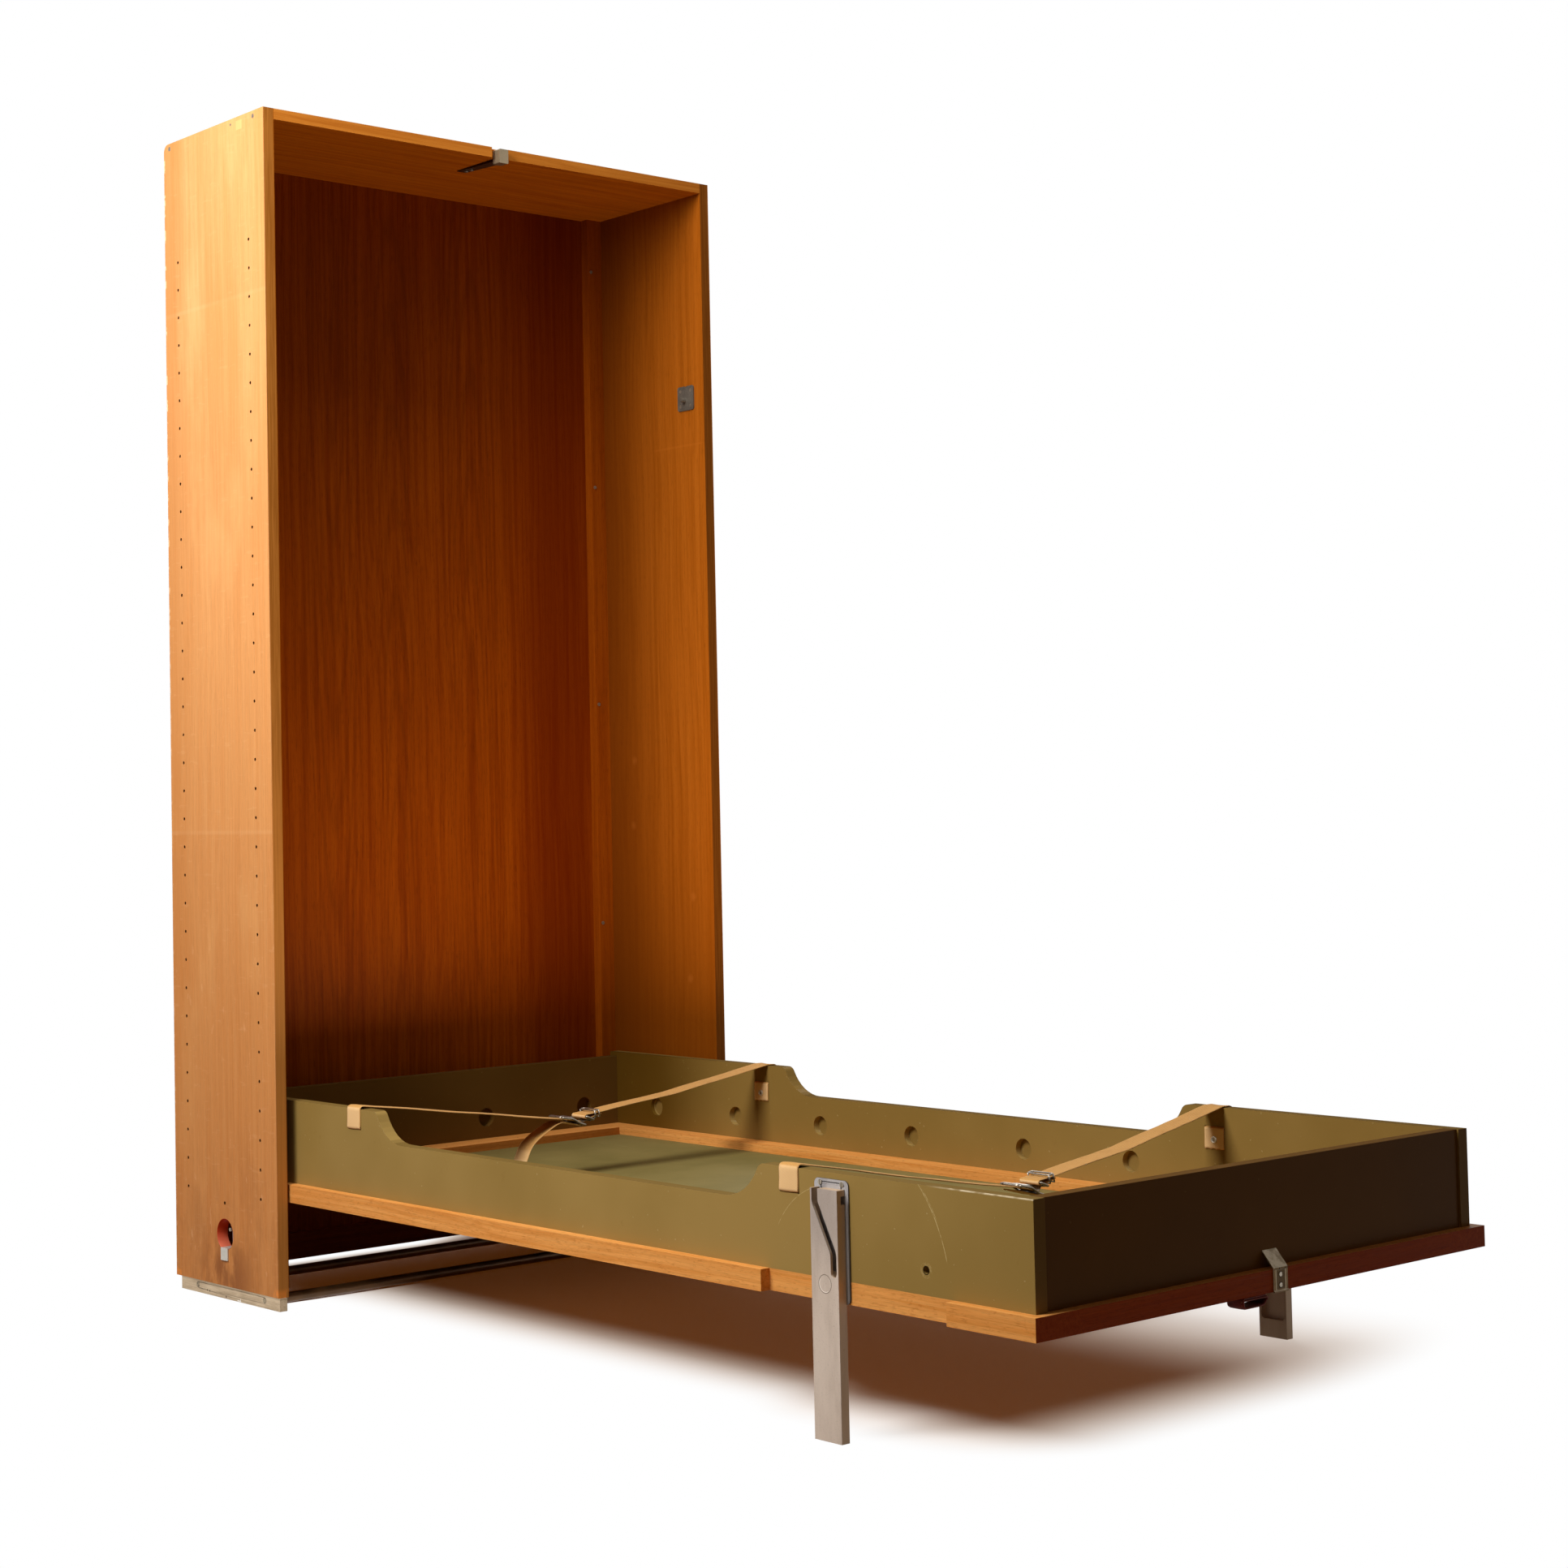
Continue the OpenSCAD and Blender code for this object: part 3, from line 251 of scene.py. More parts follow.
    def dots(self, places, radius, soft, u, v):
        """1 within radius of any of the places in the plane of u and v."""
        return self.union(self.fall(self.hypot(self.sub(u, pu), self.sub(v, pv)), radius, radius + soft)
                          for pu, pv in places)

    def union(self, masks):
        total = None
        for mask in masks:
            total = self.most(total, mask) if total else mask
        return total

    def done(self, height=None, strength=0.10, distance=0.0003):
        """Puts the paint in, and a bump where a height is given; returns the material."""
        self.put("Base Color", self.colour)
        if height:
            self.bump(height, strength, distance)
        return self.mat


def wood_layers(s, axis, seed, figure=1.0, coarse=1.0):
    """Streaks, fine fibre and pores of a board, each 0 to 1."""
    a, b, g = s.along(axis)
    warp = s.grain(3.5, 3.5, 1.1, seed + 3.1, axis=axis)
    wa, wb = s.math("MULTIPLY_ADD", warp, 0.05, a), s.math("MULTIPLY_ADD", warp, 0.05, b)
    streaks = s.grain(95 * figure, 95 * figure, 1.4, seed, 4.0, 0.72, at=(wa, wb, g))
    fibre = s.grain(420 / coarse, 420 / coarse, 9, seed, 4.0, 0.65, axis)
    return streaks, fibre, s.grain(1300 / coarse, 1300 / coarse, 55, seed, 1.0, axis=axis)


def arches(s, axis, places, pitch=0.009, slim=0.05):
    """Nested long arches of flat-sawn grain about the given places, 0 to 1."""
    a, _, g = s.along(axis)
    bend = s.grain(9, 9, 1.3, 2.0, 3.0, 0.6, axis)
    lines = []
    for a0, g0, half in places:
        da = s.sub(s.math("MULTIPLY_ADD", bend, 0.03, a), a0 + 0.015)
        r = s.hypot(da, s.mul(s.sub(g, g0), slim))
        turn = s.math("SINE", s.mul(r, math.tau / pitch))
        line = s.math("POWER", s.math("MULTIPLY_ADD", turn, 0.5, 0.5), 2.5)
        lines.append(s.mul(line, s.fall(s.abs(da), half * 0.5, half)))
    return s.union(lines)


def wood(name, axis, light, dark, seed, pore=0.35, depth=0.22, figure=1.0, coarse=1.0, spec=0.045):
    """A shade painted as wood, with light and dark streaks along an axis."""
    s = Shade(name, rough=0.42, spec=spec)
    streaks, fibre, pores = wood_layers(s, axis, seed, figure, coarse)
    s.colour = s.mix(s.step(streaks, 0.30, 0.68), dark, light)
    s.tint(s.grey(fibre, 1 - depth, 1 + depth * 0.4))
    deep = s.mul(s.step(pores, 0.58, 0.70), pore)
    s.paint(deep, darker(dark, 0.35))
    s.bump(s.sub(fibre, s.mul(deep, 1.5)), 0.12, 0.0006)
    s.put("Roughness", s.add(s.mul(fibre, 0.16), 0.34))
    return s


# Woods and paints

def panel_wood(side, seed):
    """Side panel: pale honey outside, brown varnish inside, darker on its edges."""
    s = wood("panel_" + side, "z", lin(236, 170, 108), lin(230, 158, 94), seed, pore=0.20)
    streaks, fibre, pores = wood_layers(s, "z", seed + 7)
    rear = s.sub(s.y, FY)
    # Long pale and orange fields of the faded outside
    s.coat(s.step(s.grain(9, 9, 0.8, seed + 5, 3.0, 0.6), 0.48, 0.72), 208, 128, 58, 0.40)
    cloud = s.grain(7, 7, 2.4, seed + 2, 4.0, 0.6)
    s.coat(s.step(cloud, 0.50, 0.70), 250, 196, 134, 0.30)
    # Darker towards the bottom, partly patina and partly painted shade; darker towards the rear edge
    s.tint(lin(234, 227, 214), s.step(s.z, 1.3, 0.10))
    s.tint(lin(246, 240, 232), s.step(s.z, 1.85, 1.35))
    s.coat(s.step(rear, 0.24, 0.345), 196, 122, 58, 0.40)
    # Faint cross-wise ripple of the old varnish, and scuffs low down
    s.coat(s.step(s.grain(26, 26, 130, seed + 8, 3.0, 0.6), 0.60, 0.72), 252, 210, 158, 0.07)
    stain = s.grain(16, 16, 7, seed, 4.0, 0.7)
    s.coat(s.mul(s.step(s.z, 0.42, 0.03), s.step(stain, 0.42, 0.66)), 150, 92, 46, 0.34)
    scuff = s.grain(70, 70, 24, seed + 6, 4.0, 0.7)
    s.coat(s.mul(s.step(scuff, 0.62, 0.70), s.step(s.z, 1.0, 0.3)), 246, 200, 150, 0.20)
    low_mid = s.mul(s.dots([(FY + 0.172, 0.035)], 0.02, 0.09, s.y, s.z), s.step(stain, 0.38, 0.6))
    s.coat(low_mid, 132, 74, 34, 0.7)
    # Two level seams of the veneer's varnish, with a paler field between them
    seam = s.add(s.band(s.z, 1.7390, 1.7405, 0.005), s.band(s.z, 0.8075, 0.8090, 0.005))
    s.coat(s.mul(seam, s.step(cloud, 0.3, 0.6, 0.3, 1.0)), 252, 214, 164, 0.08)
    s.coat(s.mul(s.step(s.z, 0.80, 0.815), s.fall(s.z, 1.735, 1.745)), 252, 190, 120, 0.06)

    # Inside: brown, with painted shade low down and to the rear, a few knots and one seam
    outer = s.colour
    s.colour = s.mix(s.step(streaks, 0.30, 0.68), lin(142, 72, 9), lin(160, 86, 18))
    s.tint(s.grey(fibre, 0.82, 1.07))
    s.coat(s.step(rear, 0.10, 0.33), 104, 46, 3, 0.75)
    s.coat(s.step(s.z, 1.1, 0.3), 106, 50, 4, 0.68)
    s.coat(s.step(pores, 0.60, 0.72), 78, 34, 4, 0.35)
    knots = s.dots([(FY + 0.236, 0.93), (FY + 0.243, 0.80), (FY + 0.062, 0.66), (FY + 0.075, 0.50)],
                   0.002, 0.010, s.y, s.z)
    s.coat(knots, 196, 118, 50, 0.12)
    s.coat(s.mul(s.band(s.z, 1.5445, 1.5455, 0.003), s.band(rear, 0.02, 0.14, 0.03)), 206, 120, 46, 0.08)

    # Edges, and then each face's paint over them
    inner = s.colour
    s.colour = s.mix(s.step(fibre, 0.35, 0.65), lin(152, 90, 30), lin(176, 110, 44))
    if side == "right":
        s.tint(lin(206, 190, 150))
    else:
        s.coat(s.step(s.z, 1.3, 0.3), 198, 134, 66, 0.6)
    away = s.abs(s.x)
    s.paint(s.step(away, PANEL_OUT - 0.0014, PANEL_OUT - 0.0008), outer)
    s.paint(s.fall(away, PANEL_IN + 0.0008, PANEL_IN + 0.0014), inner)
    # Rubbed arrises
    rub = s.grain(40, 40, 14, seed, 3.0, 0.7)
    field = s.mul(s.band(rear, 0.004, 0.338, 0.001), s.band(s.z, 0.005, 2.048, 0.001))
    s.coat(s.mul(s.mul(s.arris(), s.step(rub, 0.35, 0.65, 0.20, 0.8)), s.sub(1.0, field)), 230, 166, 100)
    # Painted shade on the walls of the drilled holes, but not of the access hole
    hole_shade = s.fall(s.abs(s.nx), 0.90, 0.98)
    access = [(ACCESS_Y, ACCESS_Z)]
    clear = s.sub(1.0, s.dots(access, 0.031, 0.001, s.y, s.z))
    s.coat(s.mul(s.mul(hole_shade, field), s.mul(clear, 0.9)), 58, 26, 8)
    # The access hole's wall is red, lighter on its lower part as painted light from above
    hole = s.dots(access, 0.0277, 0.0002, s.y, s.z)
    red = s.mix(s.step(s.z, ACCESS_Z - 0.022, ACCESS_Z + 0.012), lin(206, 104, 76), lin(190, 58, 22))
    s.paint(hole, red)
    # Chips at the lower corners and along the rear edge
    chip = s.mul(s.dots([(FY + 0.004, 0.024), (FY + 0.338, 0.026)], 0.006, 0.010, s.y, s.z),
                 s.step(stain, 0.44, 0.5))
    s.coat(chip, 232, 142, 62, 0.8)
    chipped = s.grain(60, 60, 45, 5, 3.0)
    rim = s.mul(s.step(rear, 0.3405, 0.3420), s.step(away, PANEL_OUT - 0.0050, PANEL_OUT - 0.0015))
    nick = s.mul(rim, s.mul(s.step(chipped, 0.52, 0.58), s.step(s.z, 0.9, 1.5, 0.3, 1.0)))
    s.coat(nick, 250, 214, 168, 0.75)
    # Filled patch and nail near the top, on the outside
    if side == "left":
        face = s.step(away, PANEL_OUT - 0.0015, PANEL_OUT - 0.0008)
        patch = s.mul(s.band(rear, 0.0715, 0.0905, 0.0006), s.band(s.z, 2.0310, 2.0465, 0.0006))
        s.coat(s.mul(patch, face), 250, 196, 126, 0.45)
        s.coat(s.mul(s.dots([(FY + 0.109, 2.0445)], 0.0022, 0.0004, s.y, s.z), face), 120, 112, 96)
    return s.done()


def top_wood():
    """Top panel: red-brown below, lighter on its front edge and paler above."""
    s = wood("top_wood", "x", lin(190, 104, 16), lin(164, 80, 8), 21)
    streaks = s.step(wood_layers(s, "x", 25)[0], 0.3, 0.7)
    front = s.fall(s.y, FY + 0.0008, FY + 0.0014)
    s.paint(front, s.mix(streaks, lin(182, 102, 28), lin(208, 128, 46)))
    top = s.step(s.z, PANEL_TOP - 0.0012, PANEL_TOP - 0.0006)
    s.paint(top, s.mix(streaks, lin(205, 140, 78), lin(222, 160, 96)))
    s.coat(s.arris(), 214, 142, 70, 0.5)
    return s.done()


def teak(name, axis, seed, light=lin(158, 73, 5), dark=lin(132, 53, 1), bands=()):
    """Red-brown veneer with fine streaks, and arches and redder bands if bands are given."""
    s = wood(name, axis, light, dark, seed, pore=0.40, depth=0.20, spec=0.03)
    wide = s.grain(5, 5, 0.35, seed + 2, 2.0, 0.55, axis)
    s.paint(s.mul(s.step(wide, 0.46, 0.70), 0.35), darker(dark, 0.70))
    if bands:
        lines = arches(s, axis, [(-0.16, 1.95, 0.07), (0.16, 0.75, 0.09), (-0.02, 0.30, 0.06)])
        s.paint(s.mul(lines, 0.22), darker(dark, 0.45))
        for low, high, soft, red, share in bands:
            s.paint(s.mul(s.band(s.along(axis)[0], low, high, soft), share), red)
    return s.done()


def batten_wood(place, axis, seed, nails):
    """Pale beech of the tray frame, with speckled fibre and small nail holes."""
    s = wood("batten_" + place, axis, lin(236, 166, 90), lin(216, 138, 62), seed, 0.30, 0.26, 1.6, 1.4)
    s.coat(s.step(s.grain(260, 260, 90, seed + 4, 2.0, 0.6, axis), 0.56, 0.72), 168, 92, 34, 0.35)
    shade = s.grain(6, 6, 1.4, seed + 9, axis=axis)
    s.coat(s.step(shade, 0.5, 0.72), 190, 108, 44, 0.30)
    s.coat(s.arris(), 236, 176, 112, 0.35)
    # Painted shade on faces that look to the foot: the head batten's, in the shade of the boards, and the
    # foot batten's own front
    forward = s.step(s.ny, -0.6, -0.95)
    if axis == "x":
        s.tint((0.62, 0.50, 0.36, 1), s.mul(forward, s.step(s.y, 0.80, 0.85)))
    s.tint((0.66, 0.26, 0.12, 1), s.mul(forward, s.step(s.y, -0.90, -0.95)))
    spots = s.dots(nails, 0.0016, 0.0006, s.x, s.y)
    s.coat(s.mul(spots, s.step(s.z, BED_TOP - 0.001, BED_TOP - 0.0004)), 70, 34, 12, 0.85)
    return s.done()


def olive_paint(place, seed, rim=0.25, face="x", shade_tone=1.0):
    """Brushed olive enamel, rubbed on its arrises."""
    s = Shade("olive_" + place, rough=0.36, spec=0.03)
    broad = s.noise(3.2, 3.0, 0.55)
    s.colour = s.mix(s.step(broad, 0.3, 0.7), lin(142, 115, 60), lin(154, 126, 70))
    peel = s.noise(420, 2.0, 0.6)
    brush = s.grain(260, 260, 5, seed, axis="y")
    s.coat(s.step(s.grain(30, 30, 30, seed, 4.0, 0.7), 0.62, 0.75), 118, 88, 36, 0.16)
    s.coat(s.step(s.grain(150, 150, 150, seed, 1.0), 0.76, 0.79), 196, 180, 130, 0.35)
    # Painted shade on the upward faces, which are also rougher
    over = s.step(s.nz, 0.90, 0.98)
    s.coat(over, 98, 76, 36, 0.75)
    lean = s.abs(s.nx if face == "x" else s.ny)
    edge = s.mul(s.step(lean, 0.12, 0.35), s.fall(lean, 0.80, 0.97))
    rub = s.grain(70, 22, 70, seed, 4.0, 0.75)
    s.coat(s.mul(edge, s.step(rub, 0.50, 0.62, 0.15, rim + 0.4)), 190, 168, 112)
    if face == "x":
        # Near-white line along the curved cut-outs: partly rubbed paint, partly a painted highlight
        curve = s.mul(s.mul(edge, s.step(s.abs(s.ny), 0.15, 0.40)), s.band(s.y, -0.60, 0.60, 0.01))
        s.coat(s.mul(curve, s.step(rub, 0.32, 0.48, 0.5, 1.0)), 252, 244, 210)
        # Lighter walls of the recesses: painted light
        wall = s.mul(s.mul(s.band(s.abs(s.x), 0.4392, 0.4495, 0.0004), s.fall(lean, 0.3, 0.6)),
                     s.mul(s.band(s.z, 0.2322, 0.2678, 0.0004), s.band(s.y, -0.92, 0.88, 0.002)))
        s.coat(wall, 196, 168, 104, 0.35)
    # The right board's inner head end lies in shade
    if place == "right":
        s.tint((0.42, 0.34, 0.15, 1), s.mul(s.step(s.y, 0.55, 0.84), s.step(s.x, 0.4460, 0.4450)))
    # Painted shade: the right board a little darker, the head and foot boards much darker and browner
    if shade_tone < 1:
        drop = (0.94, 0.86) if face == "x" else (0.74, 0.50)
        s.tint((shade_tone, shade_tone * drop[0], shade_tone * drop[1], 1))
    if place == "left":
        left_scratches(s)
    s.put("Roughness", s.add(s.add(s.mul(broad, 0.12), 0.30), s.mul(over, 0.55)))
    return s.done(s.add(peel, s.mul(brush, 0.8)), 0.05, 0.0004)


def left_scratches(s):
    """Arcs that the leg has drawn about its pivot, a worn rim and marks near the foot."""
    face = s.step(s.x, -BOARD_OUT + 0.0006, -BOARD_OUT + 0.0003)
    dy, dz = s.sub(s.y, LEG_Y), s.sub(s.z, LEG_Z)
    far = s.hypot(dy, dz)
    turn = s.math("ARCTAN2", dz, dy)
    broken = s.grain(160, 160, 160, 4, 3.0, 0.7)
    wide = s.noise(55, 1.0)
    arcs = [(0.1267, 0.58, 1.24, 0.0002), (0.2165, 2.44, 2.87, 0.0004), (0.2185, 2.50, 2.62, 0.0002)]
    marks = s.union(s.mul(s.band(far, radius - half, radius + half, 0.0003), s.band(turn, low, high, 0.06))
                    for radius, low, high, half in arcs)
    s.coat(s.mul(s.mul(marks, face), s.step(broken, 0.36, 0.56, 0.06, 0.55)), 216, 196, 140)
    rim = s.step(s.z, BOARD_TOP - 0.0022, BOARD_TOP - 0.0008)
    rim = s.mul(s.mul(rim, s.step(s.x, -BOARD_OUT + 0.003, -BOARD_OUT)), s.step(s.y, -0.82, -0.90))
    s.coat(s.mul(rim, s.step(wide, 0.30, 0.5, 0.25, 0.95)), 232, 214, 176)
    # Catch hole, painted dark as its shade and wider than it is, and bare round it
    catch = [(LEG_Y - 0.173, LEG_Z + 0.036)]
    bare = s.dots(catch, 0.0092, 0.002, s.y, s.z)
    s.coat(s.mul(s.mul(bare, face), s.step(broken, 0.45, 0.6, 0.0, 0.6)), 176, 152, 98)
    s.coat(s.mul(s.dots(catch, 0.0056, 0.0005, s.y, s.z), face), 24, 15, 6)


def sheet_green():
    """Green hardboard under the mattress, scuffed a little."""
    s = Shade("sheet_green", rough=0.6, spec=0.05)
    cloud = s.noise(4.5, 4.0, 0.6)
    fine = s.noise(700, 2.0, 0.7)
    s.colour = s.mix(s.step(cloud, 0.3, 0.7), lin(112, 101, 58), lin(128, 115, 70))
    s.coat(s.step(fine, 0.55, 0.75), 96, 88, 56, 0.22)
    s.coat(s.step(s.grain(60, 60, 3, 2, 3.0, 0.7, "y"), 0.66, 0.74), 176, 166, 128, 0.22)
    s.tint((0.96, 0.93, 0.86, 1))
    return s.done(fine, 0.08, 0.0004)


# Metals, webbing and leather

def metal(name, base, rough, metallic, seed=1.0, brush=None, rust=0.0, dark=0.7):
    """Worn metal: brushed along an axis if given, with darker blotches and optional rust."""
    s = Shade(name, rough, metallic)
    base = lin(*base)
    cloud = s.noise(22, 4.0, 0.6)
    lines = s.grain(600, 600, 10, seed, 3.0, 0.6, brush) if brush else s.noise(600, 2.0, 0.6)
    layers = s.add(s.mul(cloud, 0.6), s.mul(lines, 0.4))
    s.colour = s.mix(s.step(layers, 0.36, 0.64), darker(base, dark), base)
    pit = s.noise(180, 3.0, 0.7)
    s.paint(s.mul(s.step(pit, 0.64, 0.74), 0.35), darker(base, 0.4))
    if rust:
        s.coat(s.mul(s.step(s.noise(95, 4.0, 0.75), 0.60, 0.68), rust), 112, 62, 26)
    s.put("Roughness", s.add(s.mul(lines, 0.22), rough - 0.11))
    return s.done(s.add(lines, s.mul(pit, 0.6)))


def leg_metal():
    """Sandblasted grey alloy of the drop legs, marked by handling."""
    s = Shade("leg_grey", rough=0.46, metal=0.18, spec=0.20)
    cloud = s.grain(24, 24, 6, 3, 4.0, 0.6)
    speck = s.noise(520, 2.0, 0.7)
    streak = s.grain(240, 240, 9, 5, 3.0, 0.65)
    s.colour = s.mix(s.step(cloud, 0.34, 0.66), lin(186, 168, 152), lin(206, 189, 173))
    s.coat(s.step(speck, 0.58, 0.72), 140, 122, 106, 0.35)
    s.coat(s.step(streak, 0.62, 0.74), 226, 212, 198, 0.30)
    s.coat(s.step(s.noise(70, 4.0, 0.75), 0.66, 0.72), 120, 98, 78, 0.4)
    s.coat(s.arris(0.85, 0.98), 228, 216, 204, 0.4)
    # Cooler and darker beside the slot, warm painted light inside it, with a fine joint round the pin's flush
    # disc and a painted highlight on the disc's low rear rim
    s.tint(lin(226, 230, 238), s.mul(s.step(s.z, 0.19, 0.30), 0.8))
    s.coat(s.step(s.abs(s.x), LEG_WALL, LEG_WALL - 0.0004), 196, 158, 108, 0.5)
    dy, dz = s.sub(s.y, LEG_Y), s.sub(s.z, LEG_Z)
    far = s.hypot(dy, dz)
    outside = s.step(s.abs(s.nx), 0.9, 0.97)
    s.coat(s.mul(s.band(far, 0.0118, 0.0124, 0.0005), outside), 104, 88, 74, 0.85)
    highlight_side = s.step(s.add(dy, s.mul(dz, -1.0)), 0.0, 0.008)
    s.coat(s.mul(s.band(far, 0.0106, 0.0112, 0.0004), s.mul(outside, highlight_side)), 250, 240, 228, 0.9)
    return s.done(s.add(speck, streak), 0.08)


def leg_plate_metal():
    """Grey plate behind the leg, with painted shade on its edges and low down by its sides, where the leg
    shades it.
    """
    s = Shade("plate_grey", rough=0.5, metal=0.15, spec=0.10)
    cloud = s.grain(30, 30, 12, 2, 4.0, 0.6)
    speck = s.noise(520, 2.0, 0.7)
    s.colour = s.mix(s.step(cloud, 0.34, 0.66), lin(158, 154, 154), lin(180, 177, 177))
    s.coat(s.step(speck, 0.58, 0.72), 122, 114, 108, 0.35)
    # Painted shade: on the edges, and low down near the sides, behind the leg
    s.coat(s.sub(1.0, s.step(s.abs(s.nx), 0.90, 0.97)), 84, 74, 62)
    rim = s.sub(LEG_PLATE_HALF, s.abs(s.sub(s.y, LEG_Y)))
    s.coat(s.mul(s.step(s.z, 0.322, 0.308), s.step(rim, 0.0026, 0.0016, 0.30, 0.85)), 66, 56, 44)
    return s.done(speck, 0.08)


def skid_metal():
    """Dull alloy of the skids: brushed along, stained below, with a paint mark on the left one."""
    s = Shade("skid_alloy", rough=0.5, metal=0.35, spec=0.2)
    cloud = s.grain(40, 14, 60, 12, 4.0, 0.6)
    lines = s.grain(600, 600, 10, 12, 3.0, 0.6, "y")
    s.colour = s.mix(s.step(s.add(s.mul(cloud, 0.6), s.mul(lines, 0.4)), 0.36, 0.64),
                     lin(180, 157, 126), lin(214, 192, 160))
    spots = s.grain(110, 70, 200, 4, 4.0, 0.75)
    s.coat(s.mul(s.step(spots, 0.62, 0.68), s.step(s.z, 0.016, 0.004, 0.1, 0.7)), 92, 58, 30)
    s.coat(s.step(s.z, 0.0185, 0.0205), 122, 104, 78, 0.35)
    for y, z, r in ((0.238, 0.0075, 0.0012), (0.229, 0.0072, 0.0012), (0.173, 0.0035, 0.0016)):
        s.coat(s.dots([(FY + y, z)], r, 0.0008, s.y, s.z), 84, 42, 22, 0.85)
    up = s.mul(s.band(s.y, FY + 0.124, FY + 0.1255, 0.0003), s.band(s.z, 0.0012, 0.0060, 0.0004))
    foot = s.mul(s.band(s.y, FY + 0.124, FY + 0.135, 0.0004), s.band(s.z, 0.0010, 0.0028, 0.0004))
    s.coat(s.mul(s.most(up, foot), s.step(s.x, 0.001 - PANEL_OUT, 0.0006 - PANEL_OUT)), 244, 240, 232)
    s.coat(s.arris(0.85, 0.98), 214, 200, 176, 0.4)
    s.put("Roughness", s.add(s.mul(lines, 0.2), 0.40))
    return s.done(s.add(lines, spots))


def bolt_metal():
    """Flush slotted bolts of the base rods."""
    s = Shade("bolt_alloy", rough=0.45, metal=0.4, spec=0.2)
    grain = s.noise(420, 3.0, 0.6)
    s.colour = s.mix(s.step(grain, 0.35, 0.65), lin(150, 132, 104), lin(186, 170, 142))
    # Each bolt's slot is painted dark as its shade, with a dark joint round its head
    for y, (a, b) in ((FY + 0.045, (1.0, 0.10)), (FY + 0.270, (0.72, -0.70))):
        dy, dz = s.sub(s.y, y), s.sub(s.z, ROD_BOLT_Z)
        far = s.hypot(dy, dz)
        across = s.abs(s.add(s.mul(dy, a), s.mul(dz, b)))
        slot = s.mul(s.step(across, 0.0007, 0.0004), s.step(far, 0.0046, 0.0044))
        s.coat(s.most(slot, s.mul(s.band(far, 0.0043, 0.0050, 0.0003), 0.8)), 52, 38, 24, 0.9)
    return s.done(grain)


def hook_metal():
    """Grey hook plate: worn ramp, groove with two flush screws, bright flanges."""
    s = Shade("hook_grey", rough=0.48, metal=0.3, spec=0.05)
    cloud = s.noise(60, 4.0, 0.65)
    streak = s.grain(500, 500, 30, 4, 3.0, 0.65)
    s.colour = s.mix(s.step(cloud, 0.34, 0.66), lin(112, 88, 58), lin(140, 114, 78))
    s.coat(s.step(streak, 0.55, 0.7), 176, 152, 116, 0.3)
    across = s.abs(s.x)
    s.coat(s.mul(s.step(across, 0.0093, 0.0088), s.band(s.z, 0.1835, 0.2080, 0.0005)), 92, 74, 50, 0.75)
    lips = s.mul(s.band(across, 0.0095, 0.0108, 0.0004), s.band(s.z, 0.182, 0.2085, 0.0005))
    s.coat(lips, 214, 198, 166, 0.7)
    heads = [(0.0, 0.188), (0.0, 0.202)]
    ring = s.sub(s.dots(heads, 0.0040, 0.0003, s.x, s.z), s.dots(heads, 0.0032, 0.0003, s.x, s.z))
    s.coat(ring, 40, 30, 20, 0.8)
    chips = s.noise(420, 2.0, 0.7)
    s.coat(s.mul(s.band(s.z, 0.2085, 0.2125, 0.0012), s.step(chips, 0.50, 0.56)), 44, 34, 24, 0.85)
    s.coat(s.mul(s.arris(0.85, 0.98), s.step(cloud, 0.4, 0.6, 0.4, 1.0)), 226, 212, 186, 0.6)
    return s.done(s.add(streak, chips))


def webbing():
    """Tan cotton webbing, woven on the ribbon's own length and width in metres."""
    s = Shade("webbing", rough=0.85, spec=0.06, coord="UV")
    u, v = s.x, s.y
    weft, warp = (s.math("SINE", s.mul(c, math.tau / pitch)) for c, pitch in ((u, 0.0034), (v, 0.0021)))
    weave = s.step(s.add(s.mul(s.mul(weft, warp), 0.5), 0.5), 0.1, 0.9)
    soil = s.noise(34, 4.0, 0.65, s.vector(u, v, 0.0))
    fuzz = s.noise(1.0, at=s.vector(s.mul(u, 900), s.mul(v, 1400), 0.0))
    s.colour = s.mix(weave, lin(188, 138, 78), lin(232, 184, 120))
    s.coat(s.step(soil, 0.5, 0.72), 170, 118, 62, 0.35)
    s.coat(s.step(s.abs(s.sub(v, STRAP_W / 2)), 0.0165, 0.0185), 236, 192, 134, 0.30)
    s.coat(s.step(fuzz, 0.55, 0.7), 240, 200, 146, 0.2)
    # Painted shade on the upward faces, and painted light on the faces turned to the key lamp at -X
    s.tint((0.84, 0.77, 0.60, 1), s.step(s.nz, 0.35, 0.80))
    s.coat(s.step(s.nx, -0.80, -0.97), 246, 206, 150, 0.6)
    s.put("Sheen Weight", 0.10)
    s.put("Sheen Roughness", 0.5)
    return s.done(s.add(weave, s.mul(fuzz, 0.4)), 0.5, 0.0005)


